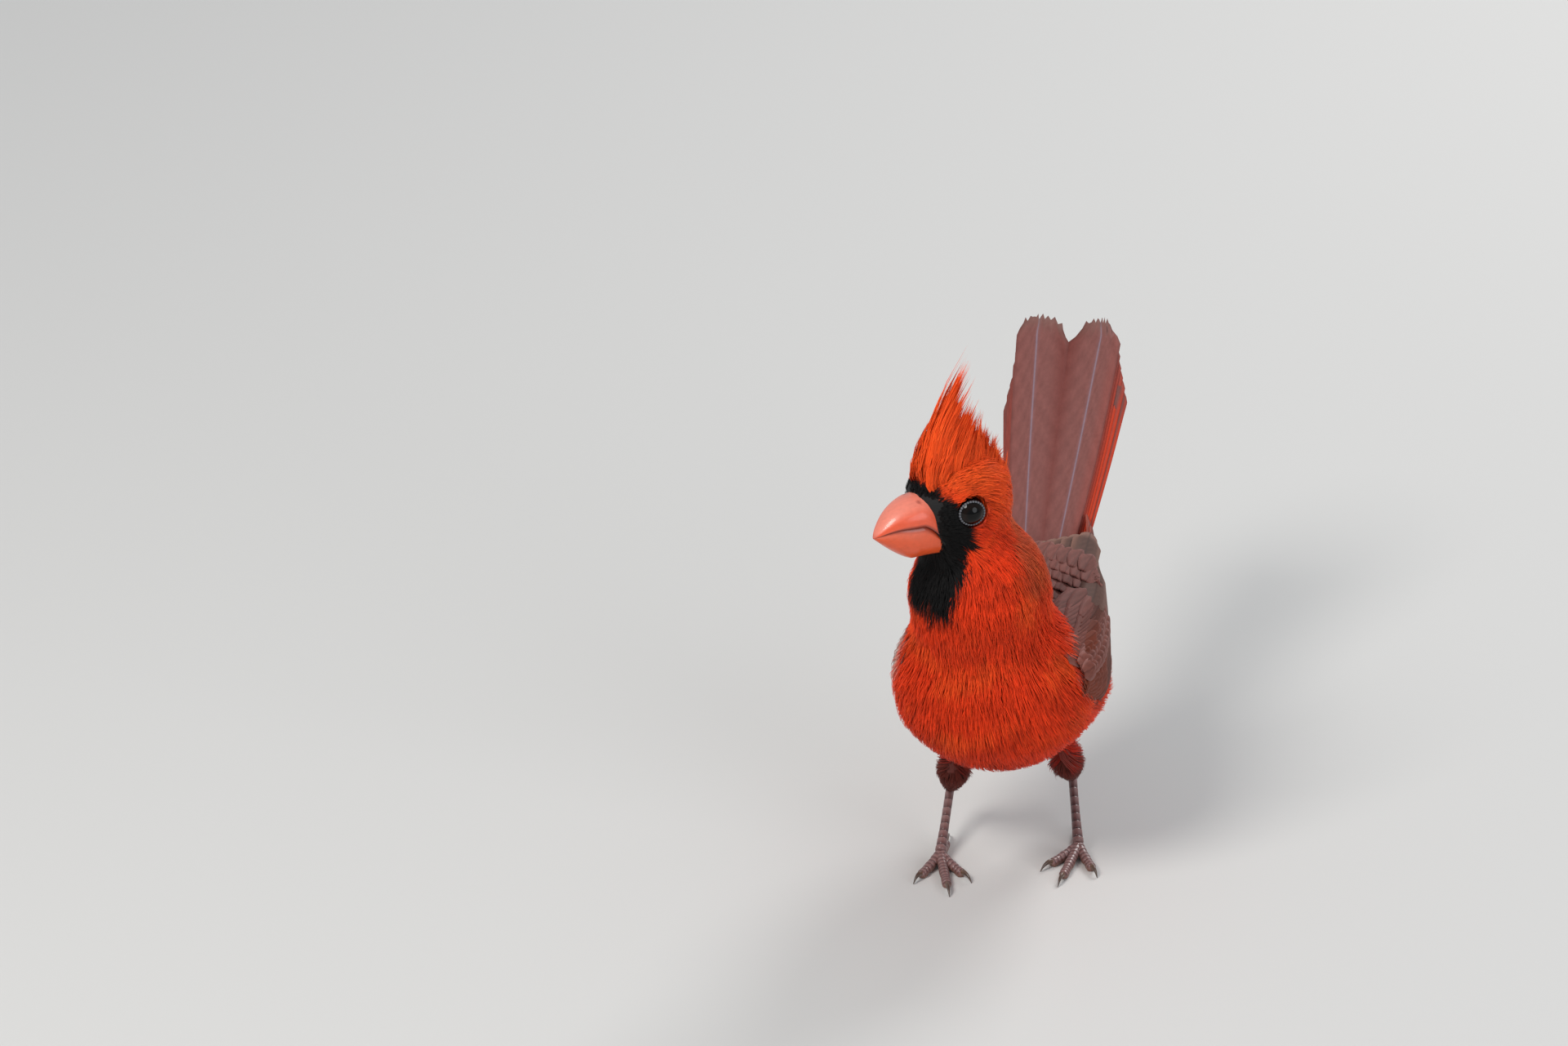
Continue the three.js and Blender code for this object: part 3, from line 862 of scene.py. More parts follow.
def bill_top(t):
    return 3.8 - 8.8 * t**3.2


def bill_gape(t):
    corner = 5.8 * np.maximum(0, (0.34 - t) / 0.34) ** 1.3
    return -2.7 - corner - 2.3 * np.maximum(0, (t - 0.6) / 0.4) ** 2


def bill_bottom(t):
    return -13.7 + 8.6 * np.maximum(0, (t - 0.38) / 0.62) ** 1.25


def bill_half_width(t):
    return 7.4 * np.maximum(0, 1 - t**1.7) ** 0.75 + 0.1


def bill_half(upper):
    """A smooth half of the bill: rows along it, each an arch that closes on the gape."""
    rows, columns = 60, 36
    t = np.sin(np.linspace(0, np.pi / 2, rows))[:, None]
    arch = np.linspace(0, np.pi, columns)[None, :]
    across = np.cos(arch) * bill_half_width(t) * (1 if upper else 0.93)
    gap = 0.07 if upper else -0.07
    start = bill_gape(t) + gap * (1 - t)
    end = np.maximum(bill_top(t), start) if upper else np.minimum(bill_bottom(t), start)
    shape = np.sin(arch) ** (0.78 if upper else 0.7)
    ridge = 0.25 * np.exp(-(((arch - np.pi / 2) / 0.25) ** 2)) * (1 - t) if upper else 0
    level = start + (end - start) * shape + ridge
    forward = BILL_ROOT + (BILL_TIP - BILL_ROOT) * t + 0 * arch
    local = np.stack([across, forward, level], 2)
    colours = bill_colour(local, t + 0 * arch, shape + 0 * t, upper)
    faces = grid_faces(rows, columns, loop_columns=True, flip=upper)
    return in_head(local.reshape(-1, 3)), faces, colours.reshape(-1, 3)


def bill_colour(local, t, height, upper):
    if upper:
        # Pink towards the ridge of the upper half: a painted highlight along the culmen.
        base = mix(BILL_RED, BILL_HIGHLIGHT_PINK, ramp(height, 0.45, 0.95) * 0.8)
    else:
        # Pink on the lower half's sides by the gape, towards the tip, fading towards its underside: a weaker
        # painted highlight.
        base = mix(MANDIBLE_ORANGE, BILL_HIGHLIGHT_PINK, 0.3 * ramp(t, 0.1, 0.5) * (1 - ramp(height, 0.1, 0.5)))
    base = mix(base, BILL_LINE, (1 - ramp(height, 0.0, 0.11)) * 0.85)
    streak = speckle(local * np.array([2.2, 0.5, 2.2]), 0.8, 1)
    colour = base * (1 + 0.06 * streak)[..., None]
    if upper:
        from_nostril = np.hypot((np.abs(local[..., 0]) - 3.0) / 0.8, (local[..., 1] + 11.4) / 0.6)
        colour = mix(colour, NOSTRIL, (1 - ramp(from_nostril, 0.6, 1.2)) * (local[..., 2] > 0) * 0.7)
    return np.clip(mix(colour, BILL_END, ramp(t, 0.94, 1.0) * 0.5), 0, 1)


def make_bill():
    horn = surface_material("bill_horn_look", 0.36, 900, 0.00005, vary=0.07, coat=0.35)
    for upper, node in ((True, "bill_upper"), (False, "bill_lower")):
        piece = make_mesh(node + "_horn", *bill_half(upper))
        finish_piece(piece, horn, "bill_horn", node)


# Eyes


def ball(centre, radius, pole, rows=28, columns=36):
    """A ball whose pole points along the eye's axis, dark brown with a black pupil."""
    pole = unit(np.asarray(pole, float))
    side = unit(np.cross(pole, [0, 0, 1.0]))
    up = np.cross(side, pole)
    polar = np.linspace(0, np.pi, rows)[:, None]
    around = np.linspace(0, 2 * np.pi, columns, endpoint=False)[None]
    direction = (
        np.cos(polar)[..., None] * pole
        + (np.sin(polar) * np.cos(around))[..., None] * side
        + (np.sin(polar) * np.sin(around))[..., None] * up
    )
    points = (centre + radius * direction).reshape(-1, 3)
    from_pole = np.degrees(polar) + 0 * around
    iris = ramp(from_pole, 24, 30) * (1 - ramp(from_pole, 44, 50))
    return points, grid_faces(rows, columns, loop_columns=True), mix(PUPIL, IRIS, iris).reshape(-1, 3)


def lid_ring(centre, axis):
    """A ring of small beads round the eye, on a dark lid."""
    axis = unit(axis)
    side = unit(np.cross(axis, [0, 0, 1.0]))
    up = np.cross(side, axis)
    rows, columns, beads = 168, 14, 28
    around = np.linspace(0, 2 * np.pi, rows, endpoint=False)[:, None]
    tube = np.linspace(0, 2 * np.pi, columns, endpoint=False)[None]
    bead = np.abs(np.sin(around * beads / 2))
    thick = 0.25 + 0.11 * bead
    reach = 3.36 + thick * np.cos(tube)
    oval = 1 - 0.05 * np.sin(around) ** 2
    lift = 2.3 + 0.9 * thick * np.sin(tube) - 0.25 * (reach - 3.3)
    out = (reach * oval * np.cos(around))[..., None] * side
    out = out + (reach * oval * np.sin(around))[..., None] * up
    points = centre + out + (lift + 0 * around)[..., None] * axis
    shade = mix(LID_DARK, LID_GREY, bead * ramp(np.sin(tube), 0.0, 0.7))
    faces = grid_faces(rows, columns, loop_rows=True, loop_columns=True)
    return points.reshape(-1, 3), faces, np.broadcast_to(shade, points.shape).reshape(-1, 3)


def make_eyes():
    wet = surface_material("eye_look", 0.03, 300, 0.000001, vary=0.02, specular=0.22)
    lid = surface_material("lid_look", 0.5, 2500, 0.00004, vary=0.2)
    for side, node in ((1, "eye_left"), (-1, "eye_right")):
        axis = in_head(EYE_AXIS * np.array([side, 1, 1])) - HEAD_CENTRE
        centre = in_head([EYE_OUT * side, 0, 0])
        piece = make_mesh(node + "_ball", *ball(centre, EYE_RADIUS - 0.12, axis))
        finish_piece(piece, wet, "eye", node)
        ring = make_mesh(node + "_lid", *lid_ring(centre, axis))
        finish_piece(ring, lid, "leg_skin")


# Long feathers


def vane(centres, normals, webs, colour, camber=0.3, tip_round=0.8, worn=0.0, columns=9):
    """A feather along its shaft. webs is the width of each web, or of the inner and the outer one."""
    centres = np.asarray(centres, float)
    normals = unit(np.broadcast_to(np.asarray(normals, float), centres.shape))
    inner, outer = webs if isinstance(webs, tuple) else (webs, webs)
    rows = len(centres)
    ways = unit(np.gradient(centres, axis=0))
    across = unit(np.cross(ways, normals))
    normals = unit(np.cross(across, ways))
    s = np.linspace(-1, 1, columns)[None]
    s = np.sign(s) * np.abs(s) ** 1.5
    width = np.where(s < 0, inner[:, None], outer[:, None])
    t = np.linspace(0, 1, rows)[:, None]
    step = np.linalg.norm(centres[-1] - centres[-2])
    back = tip_round * np.abs(s) ** 2.2 * ramp(t, 0.75, 1.0) * width
    back = back + worn * step * ramp(t, 0.6, 1) * (0.5 + 0.5 * np.sin(s * 23 + rng.uniform(0, 6)))
    shaft = 0.16 * np.exp(-((s / 0.09) ** 2)) * (1 - 0.7 * t)
    drop = -camber * s**2 * np.maximum(width, 0.5) * 0.3
    points = (
        centres[:, None]
        + across[:, None] * (s * width)[..., None]
        - ways[:, None] * back[..., None]
        + normals[:, None] * (drop + shaft)[..., None]
    )
    colours = colour(t + 0 * s, s + 0 * t)
    return points.reshape(-1, 3), grid_faces(rows, columns), np.clip(colours.reshape(-1, 3), 0, 1)


def leaf(s, width, start, swell, narrowed, narrows_at=0.85):
    """The half width of a short feather, which swells from its root and narrows at the tip."""
    swollen = width * np.sin(np.pi * np.clip(start + swell * s, 0, 1))
    return swollen * (1 - narrowed * ramp(s, narrows_at, 1))


def blade(s, width, full_at, narrowed, narrows_at):
    """The half width of a long feather, which is soon full and narrows at the tip."""
    return width * np.sqrt(np.clip(s / full_at + 0.1, 0, 1)) * (1 - narrowed * ramp(s, narrows_at, 1))


def feather_colour(centre, edge, edge_share=0.75, outer=0):
    """Colours of a vane with a paler edge, on one web only when outer is -1 or 1."""

    def colour(t, s):
        base = np.broadcast_to(np.array(centre, float), (*t.shape, 3))
        base = base * (1 + 0.12 * np.sin(t * 70 + np.abs(s) * 15))[..., None]
        across = np.abs(s) if outer == 0 else s * outer
        base = mix(base, edge, ramp(across, 0.55, 1.0) * edge_share * (0.4 + 0.6 * t))
        base = mix(base, edge, ramp(t, 0.86, 1.0) * edge_share * 0.8)
        return mix(base, np.array(centre) * 0.5, np.exp(-((s / 0.06) ** 2)) * 0.6)

    return colour


def toned(colour, low, high):
    """A colour made darker or brighter by a random factor from low to high."""
    return np.array(colour) * rng.uniform(low, high)


def thicken(piece, millimetres):
    solid = piece.modifiers.new("thickness", "SOLIDIFY")
    solid.thickness = millimetres * MM
    apply_modifiers(piece)


def vane_material():
    return surface_material("vane_look", 0.6, 1400, 0.00006, vary=0.14, specular=0.1, stretch=(1, 0.35, 1))


# The tail's two sides: roots in millimetres from the middle line and angles in degrees, of the middle and
# the outermost feather, how much shorter the outermost is, how much tips narrow, and how red the edges are
TAIL_FANS = [
    {"side": -1, "roots": (1.3, 3.8), "angles": (4.4, 7.4), "shortened": 0.26, "tip": 0.30, "edge": 0.3},
    {"side": 1, "roots": (2.9, 7.0), "angles": (1.8, 4.8), "shortened": 0.20, "tip": 0.55, "edge": 1.0},
]


def tail_colour(side, pair, edge_share):
    def colour(t, s):
        outer = s * side
        base = np.broadcast_to(np.array(TAIL_ROSE) * (1 - 0.04 * pair), (*t.shape, 3))
        streak = 0.07 * np.sin(t * 230 + np.abs(s) * 30) + 0.05 * np.sin(t * 61 + s * 9)
        out = base * (1 + streak)[..., None]
        out = mix(out, TAIL_GAP, ramp(-outer, 0.35, 0.95) * 0.55)
        edge = ramp(outer, 0.35, 0.9) * min(1.0, 0.12 + 0.3 * pair) * edge_share
        out = mix(out, TAIL_EDGE, edge * (1 - 0.6 * ramp(t, 0.75, 1)))
        out = mix(out, TAIL_SHAFT, np.exp(-((s / 0.03) ** 2)) * 0.7)
        return mix(out, TAIL_TIP, ramp(t, 0.94, 1) * 0.5)

    return colour


def tail_feather(fan, pair):
    side = fan["side"]
    outward = pair / (TAIL_PAIRS - 1)
    splay = math.radians(np.interp(outward**1.5, [0, 1], fan["angles"])) * side
    start = np.interp(outward, [0, 1], fan["roots"]) * side
    length = TAIL_LENGTH * (0.995 - fan["shortened"] * outward)
    s = np.linspace(0.02, 1.0, 50)
    aside = start + math.sin(splay) * length * s
    local = np.stack([aside, math.cos(splay) * length * s, 0.6 - 0.55 * pair + 0 * s], 1)
    local[:, 2] += 0.12 * rng.normal()
    normal = np.array([side * 0.06 * pair, 0, 1.0]) @ TAIL_TURN.T
    full = 4.2 + 3.4 * np.sin((np.pi / 2) * np.minimum(1, s * 1.3))
    full = full * (1 - fan["tip"] * ramp(s, 0.93, 1.0)) * (1 - 0.07 * pair)
    narrow = full * (0.74 - 0.07 * pair)
    wide = full * 1.2
    local[:, 0] += side * (wide - narrow) / 2
    webs = (wide, narrow) if side > 0 else (narrow, wide)
    colour = tail_colour(side, pair, fan["edge"])
    return vane(in_tail(local), normal, webs, colour, camber=0.22, tip_round=0.3, worn=1.0, columns=17)


def tail_coverts():
    """Feathers that lie over and under the base of the tail."""
    parts = []
    count = 16
    s = np.linspace(0, 1, 16)
    for above, reach, centre in ((1, 17.0, RUMP_ROSE), (-1, 26.0, BELLY_RED)):
        for i in range(count):
            aside = (i + 0.5) / count * 2 - 1
            aside = aside * 0.4 + 0.6 * np.sign(aside) * abs(aside) ** 1.6 + rng.normal(0, 0.04)
            start = -2.0 + rng.uniform(-2, 2)
            length = reach * (1 - 0.35 * aside**2) * rng.uniform(0.85, 1.1)
            level = above * (4.6 - 3.4 * s**0.7 - 1.5 * aside**2) - (1.2 if above > 0 else 2.2)
            local = np.stack([aside * (9.0 + 2 * s), start + length * s, level + 0.05 * i], 1)
            normal = np.array([0.25 * aside, 0, above]) @ TAIL_TURN.T
            outline = leaf(s, 3.0, 0.18, 0.55, 0.6, narrows_at=0.8)
            colour = feather_colour(centre, VENT_RED, 0.5)
            parts.append(vane(in_tail(local), normal, outline, colour, columns=7))
    return parts


def make_tail():
    parts = [tail_feather(fan, pair) for pair in range(TAIL_PAIRS) for fan in TAIL_FANS] + tail_coverts()
    piece = make_mesh("tail_feathers", *join_parts(parts))
    thicken(piece, 0.12)
    finish_piece(piece, vane_material(), "flight_feathers", "tail")


# Wings: rows of coverts over the folded flight feathers


def wing_line(side):
    return np.array(
        [
            [side * 20 - 1.4, -18, 62],
            [side * 22.6 - 1.2, -4, 61],
            [side * 21 - 1, 16, 62],
            [side * 15.5 - 0.8, 38, 65.5],
            [side * 10 - 0.6, WING_LENGTH - 20, 70.5],
        ]
    )


def wing_at(side, u, v, lift):
    """A point of the wing's outer face and its normal. u goes from bend to tip, v from -1 low to 1 high."""
    u = np.asarray(u, float)
    line = wing_line(side)
    centre = curve_point(line, u)
    way = unit(curve_point(line, u + 0.01) - curve_point(line, u - 0.01))
    inner = np.clip(u, 0, 1)
    depth = WING_DEPTH / 2 * (1 - 0.82 * inner**1.5) * np.sqrt(np.sin(np.pi * np.clip(u, 0.04, 0.95)))
    thick = 2.5 * (1 - inner) ** 0.8 + 0.55
    v = np.clip(v, -1, 1)
    up = np.broadcast_to(unit(np.array([side * -0.3, 0, 1.0])), way.shape)
    out = unit(np.cross(way, up)) * side
    round_out = np.sqrt(np.clip(1 - v**2, 0, 1))
    point = centre + up * (depth * v)[:, None] + out * (thick * round_out + lift)[:, None]
    normal = unit(out * (0.45 + round_out)[:, None] + up * (0.5 * v)[:, None])
    return point, normal


# Rows of the wing's feathers: how many, their webs' width and their lift, where the lowest and the highest
# root lie (u, v), how long those two are as a share of the wing, and their colours
WING_ROWS = [
    ((8, 3.0, 0.2), (0.42, -0.62), (0.52, 0.05), (0.60, 0.42), (FLIGHT_BROWN, FLIGHT_EDGE)),
    ((9, 3.2, 0.5), (0.26, -0.80), (0.40, 0.50), (0.40, 0.34), (FLIGHT_BROWN, FLIGHT_EDGE)),
    ((4, 4.2, 1.0), (0.34, 0.35), (0.40, 1.0), (0.36, 0.32), (TERTIAL_BROWN, TERTIAL_EDGE)),
    ((12, 2.5, 1.0), (0.16, -0.88), (0.30, 0.95), (0.20, 0.17), (COVERT_BROWN, COVERT_FRINGE)),
    ((12, 2.2, 1.3), (0.09, -0.90), (0.20, 0.95), (0.14, 0.13), (COVERT_RED, COVERT_FRINGE)),
    ((11, 2.0, 1.5), (0.05, -0.92), (0.14, 0.95), (0.11, 0.11), (COVERT_RED, COVERT_FRINGE)),
    ((10, 1.9, 1.6), (0.015, -0.92), (0.09, 0.95), (0.10, 0.10), (COVERT_RED, COVERT_FRINGE)),
    ((9, 1.8, 1.6), (-0.015, -0.9), (0.04, 0.95), (0.09, 0.10), (COVERT_RED, COVERT_FRINGE)),
]
# Rows of feathers that close the space between back and wing: how far inwards of the wing's upper edge and
# above it they start, and about where on the wing they lie (v)
SCAPULAR_ROWS = [
    ((8.0, 3.4), 0.98),
    ((5.0, 2.6), 0.95),
    ((2.4, 1.8), 0.85),
    ((0.6, 0.8), 0.60),
    ((0.0, 0.0), 0.35),
]
MANTLE_GAP = 2.8
MANTLE_LENGTH = 7.5
MANTLE_LIFT = 0.4


def back_tertials(side):
    """The innermost wing feathers, which lie flat over the lower back and meet at its middle."""
    parts = []
    s = np.linspace(0, 1, 22)
    outline = blade(s, 4.2, 0.2, 0.45, 0.82)
    for i in range(5):
        inward = 3.0 * i
        x = side * (15.5 - inward - (2.5 - 0.4 * i) * s)
        y = 11.0 + (38.0 - 2.5 * i) * s
        z = 71.8 + 0.35 * i + 0.6 * s + 1.6 * np.sin(np.pi * s)
        normal = [side * (0.45 - 0.08 * i), -0.06, 1.0]
        colour = feather_colour(toned(TERTIAL_BROWN, 0.85, 1.2), TERTIAL_EDGE, 0.95)
        parts.append(vane(np.stack([x, y, z], 1), normal, outline, colour, camber=0.5, tip_round=0.9))
    return parts


def back_scapulars(side):
    """Short round feathers in rows across the back, over the roots of the feathers behind them."""
    parts = []
    s = np.linspace(0, 1, 14)
    outline = leaf(s, 2.7, 0.16, 0.6, 0.35)
    for row in range(7):
        for i in range(6):
            x = side * (0.8 + 2.9 * i + 1.4 * (row % 2)) + side * 0.8 * s
            y = 24.0 - 4.2 * row - 0.25 * i + (11.5 + rng.uniform(-0.8, 0.8)) * s
            z = 76.2 - 0.09 * row**2 - (0.010 + 0.0016 * row) * x**2 + 0.4 * np.sin(np.pi * s) - 0.5 * s
            normal = [side * (0.06 + 0.10 * i), 0.05, 1.0]
            colour = feather_colour(toned(MANTLE_ROSE, 0.75, 1.2), MANTLE_FRINGE, 0.8)
            parts.append(vane(np.stack([x, y, z], 1), normal, outline, colour, camber=0.5, tip_round=1.0))
    return parts


def wing_row(side, row):
    """One row of feathers over the folded wing, from the lowest to the highest."""
    (count, width, lift), first, last, reach, (centre, edge) = row
    one_web = count < 10 and width > 3
    s = np.linspace(0, 1, 20)
    outline = blade(s, width, 0.12, 0.55, 0.8)
    parts = []
    for i in range(count):
        share = i / (count - 1)
        u0 = np.interp(share, [0, 1], [first[0], last[0]]) + rng.normal(0, 0.004)
        v0 = np.interp(share, [0, 1], [first[1], last[1]])
        u = u0 + np.interp(share, [0, 1], reach) * s * rng.uniform(0.94, 1.05)
        v = v0 + (0.15 - v0) * 0.25 * s
        points, normals = wing_at(side, u, v, lift + 0.09 * i * (9 / count) + 0.35 * s)
        normals = unit(normals + np.array([0, 0, 0.16]))
        colour = feather_colour(toned(centre, 0.82, 1.2), edge, 0.85, side if one_web else 0)
        parts.append(vane(points, normals, outline, colour, camber=0.7, tip_round=0.9))
    return parts


def scapulars(side):
    """Feathers that lie from the back over the upper part of the folded wing."""
    parts = []
    s = np.linspace(0, 1, 14)
    outline = leaf(s, 2.9, 0.16, 0.6, 0.35)
    for row, ((inward, above), v) in enumerate(SCAPULAR_ROWS):
        for i in range(10):
            u0 = -0.03 + 0.034 * i + 0.017 * (row % 2) + rng.normal(0, 0.004)
            u = u0 + (0.13 + 0.008 * i) * s
            points, normals = wing_at(side, u, v + 0.05 - 0.2 * s, 1.9 + 0.45 * s + 0.05 * (10 - i))
            shift = np.stack([-side * inward * (1 - 0.45 * s), 0 * s, above * (1 - 0.45 * s)], 1)
            normals = unit(normals + np.array([0, 0, 0.12 * above]))
            centre = mix(toned(MANTLE_ROSE, 0.8, 1.2), COVERT_RED, row / 8)
            colour = feather_colour(centre, MANTLE_FRINGE, 0.75)
            parts.append(vane(points + shift, normals, outline, colour, camber=0.5, tip_round=1.1))
    return parts


def mantle_gap(p):
    """Millimetres between the mantle's feathers, or 0 off it."""
    return np.where(back_share(p) * (1 - wing_share(p)) > 0.5, MANTLE_GAP, 0.0)


def mantle_feathers(surface):
    """Small round-tipped feathers laid over the mantle like tiles."""
    roots = surface.scatter(mantle_gap)
    lengths = MANTLE_LENGTH * rng.uniform(0.85, 1.15, len(roots))
    lines, outward, _, _ = tuft_lines(surface, roots, lengths)
    tones = 1 + 0.2 * speckle(roots, 3, 4)
    depths = coat_depth(roots)
    s = np.linspace(0, 1, 10)
    outline = leaf(s, 2.4, 0.14, 0.62, 0.4)
    parts = []
    for line, out, tone, depth in zip(lines, outward, tones, depths):
        normal = unit(curve_point(out, s))
        height = depth + MANTLE_LIFT * (0.3 + 0.7 * s) + rng.uniform(0, 0.25)
        centre = curve_point(line, s) + normal * height[:, None]
        colour = feather_colour(np.array(MANTLE_ROSE) * tone, MANTLE_FRINGE, 0.7)
        parts.append(vane(centre, normal, outline, colour, camber=0.4, columns=7))
    return parts


def make_wings(surface):
    look = vane_material()
    for side, name in ((1, "left"), (-1, "right")):
        parts = back_tertials(side) + back_scapulars(side)
        for row in WING_ROWS:
            parts += wing_row(side, row)
        piece = make_mesh("wing_feathers_" + name, *join_parts(parts + scapulars(side)))
        thicken(piece, 0.1)
        finish_piece(piece, look, "flight_feathers", "wing_" + name)
    piece = make_mesh("mantle_feathers", *join_parts(mantle_feathers(surface)))
    thicken(piece, 0.1)
    finish_piece(piece, look, "body_feathers")


# Crest: long plumes on the crown


def crest_root(back):
    return curve_point([[0, -6.6, 5.8], [0, 1, 8.2], [0, 10.5, 5.0], [0, 13, 1.5]], back)


def crest_tip(back):
    return curve_point([[0, 7.4, CREST_HEIGHT], [0, 8.4, 29], [0, 12.5, 20], [0, 18.0, 9.0]], back)


PLUMES = 1150
TALL_PLUMES = 26
NARROW_PLUMES = 3 * TALL_PLUMES


def grow_crest(material, surface):
    """Tufts that follow curved lines up from the crown. The first are the tall ones at the front."""
    back = rng.random(PLUMES) ** 1.15
    aside = rng.uniform(-1, 1, PLUMES)
    ahead = rng.uniform(-1, 1, PLUMES)
    back[:TALL_PLUMES] = rng.uniform(0, 0.12, TALL_PLUMES)
    aside[:TALL_PLUMES] *= 0.4
    root = crest_root(back)
    root[:, 0] = aside * np.interp(back, [0, 0.5, 1], [4.6, 7.0, 7.0])
    root[:, 1] += ahead * np.interp(back, [0, 0.3], [1.2, 2.4])
    root[:, 2] -= 1.3 * aside**2 + 0.8
    reach = rng.uniform(0.3, 1.0, PLUMES) ** 0.85 * (1 - 0.2 * np.abs(aside))
    reach[:TALL_PLUMES] = rng.uniform(0.98, 1.12, TALL_PLUMES)
    reach[TALL_PLUMES:NARROW_PLUMES] *= 1.18
    tip = root * np.array([0.3, 0, 0]) + crest_tip(back)
    tip = root + (tip - root) * reach[:, None] + rng.normal(0, 0.7, root.shape) * (1 + back[:, None])
    bow = (root + tip) / 2 + np.stack([aside * 1.2, -8.5 * (1 - back) ** 1.5, 1.4 * back], 1)
    t = np.linspace(0, 1, LINE_STEPS + 1)
    lines = np.stack([(1 - k) ** 2 * root + 2 * k * (1 - k) * bow + k**2 * tip for k in t], 1)
    ways = unit(np.gradient(lines, axis=1))
    outward = np.zeros_like(lines)
    outward[..., 0] = 1.3 * aside[:, None]
    outward[..., 1] = (2 * back - 1 + 0.5 * ahead)[:, None]
    outward[..., 2] = 0.2
    outward = unit(outward - (outward * ways).sum(2, keepdims=True) * ways)
    lines, ways, outward = in_head(lines), ways @ HEAD_TURN.T, outward @ HEAD_TURN.T
    spread = np.full(PLUMES, 0.9)
    spread[:NARROW_PLUMES] = 0.45
    made = barbs(lines, outward, ways, spread, 0.38, 0.25, 0.4)
    colour = np.array(CREST_RED) * (1 + 0.16 * speckle(lines[:, 2], 4, 3))[:, None]
    colour = mix(colour, CREST_ORANGE, ramp(back, 0.45, 1.0) * rng.uniform(0.1, 0.9, PLUMES))
    _, _, index = surface.nearest(lines[:, 0])
    shades = barb_colours(np.clip(colour, 0, 1), 1.15, 0.72)
    piece = make_coat("crest_plumes", made, shades, tuft_uvs(surface.face_uv[index]), material)
    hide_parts("crest")


# Legs

LEGS = {
    "right": {
        "side": -1,
        "foot": np.array([-17.0, -10.7]),
        "ankle": np.array([-17.8, 10.4, 13.8]),
        "knee": np.array([-13.5, -6, 33]),
        "heading": 17.0,
    },
    "left": {
        "side": 1,
        "foot": np.array([18.6, 1.0]),
        "ankle": np.array([13.4, 20.2, 15.8]),
        "knee": np.array([14.2, -1, 35]),
        "heading": -6.0,
    },
}
# Each toe's turn from the foot's heading in degrees, its length, and the size of its claw
TOES = {
    "hind": (197, 8.2, 1.25),
    "inner": (-27, 10.2, 0.9),
    "middle": (0, 15.2, 1.0),
    "outer": (35, 10.6, 0.85),
}
FOOT_HEIGHT = 3.2
CLAW_LENGTH = 5.2
SHANK_SCUTES = 15
TOE_SCUTE_LENGTH = 1.25
# Where the bare shank ends under the feathers, as a share of the way from the ankle to the knee
SHANK_END = 0.13


def tube(line, radius, rows, columns, colour):
    """A round limb along a line. radius(s, angle) gives its size and colour(s, angle) its colour."""
    s = np.linspace(0, 1, rows)
    centre = curve_point(line, s)
    way = unit(np.gradient(centre, axis=0))
    across = unit(np.cross(way, [0, 0, 1.0]))
    above = np.cross(across, way)
    angle = np.linspace(0, 2 * np.pi, columns, endpoint=False)
    s, angle = np.meshgrid(s, angle, indexing="ij")
    out = np.cos(angle)[..., None] * across[:, None] + np.sin(angle)[..., None] * above[:, None]
    points = centre[:, None] + radius(s, angle)[..., None] * out
    points[..., 2] = np.maximum(points[..., 2], 0.0)
    faces = grid_faces(rows, columns, loop_columns=True, flip=True)
    faces.append(list(range(columns))[::-1])
    faces.append([(rows - 1) * columns + j for j in range(columns)])
    return points.reshape(-1, 3), faces, colour(s, angle).reshape(-1, 3)


def end_round(s, start, end):
    """Rounds a limb's ends off over start and end, which are shares of its length."""
    rounded = np.sqrt(np.clip(np.minimum(s / start, 1), 0.02, 1))
    return rounded * np.sqrt(np.clip(np.minimum((1 - s) / end, 1), 0.02, 1))


def upper_side(angle):
    return ramp(np.sin(angle), -0.3, 0.4)


def scutes(s, angle, count):
    """Overlapping plates on the upper side, fine scales below."""
    phase = (s * count) % 1
    top = upper_side(angle)
    plates = (0.075 * phase - 0.11 * np.exp(-((phase / 0.10) ** 2))) * top
    return plates + 0.02 * np.sin(angle * 9) * np.sin(s * count * 9) * (1 - top)


def scute_colour(count, pale):
    def colour(s, angle):
        phase = (s * count) % 1
        top = upper_side(angle)
        out = mix(LEG_PURPLE, LEG_PALE, ramp(phase, 0.15, 0.8) * top * pale)
        out = mix(out, SCUTE_LINE, np.exp(-((phase / 0.12) ** 2)) * top * 0.8)
        return mix(out, PAD_ORANGE, (1 - top) * 0.35)

    return colour


def toe_line(leg, turn, reaches, heights):
    """Points ahead of the foot in a toe's direction."""
    angle = math.radians(-90 + leg["heading"] + turn * leg["side"])
    x, y = leg["foot"]
    return [[x + math.cos(angle) * r, y + math.sin(angle) * r, h] for r, h in zip(reaches, heights)]


def shank_part(leg):
    foot = np.array([*leg["foot"], FOOT_HEIGHT - 0.9])
    ankle = leg["ankle"]
    above = ankle + SHANK_END * (leg["knee"] - ankle)

    def radius(s, angle):
        thick = 1.3 * (1 + 0.4 * np.abs(2 * s - 1) ** 3)
        flat = 1 - 0.12 * np.abs(np.cos(angle))
        return thick * (1 + scutes(s, angle, SHANK_SCUTES)) * flat * end_round(s, 0.03, 0.03)

    line = [foot, ankle * 0.5 + foot * 0.5, ankle, above]
    return tube(line, radius, 150, 20, scute_colour(SHANK_SCUTES, 0.8))


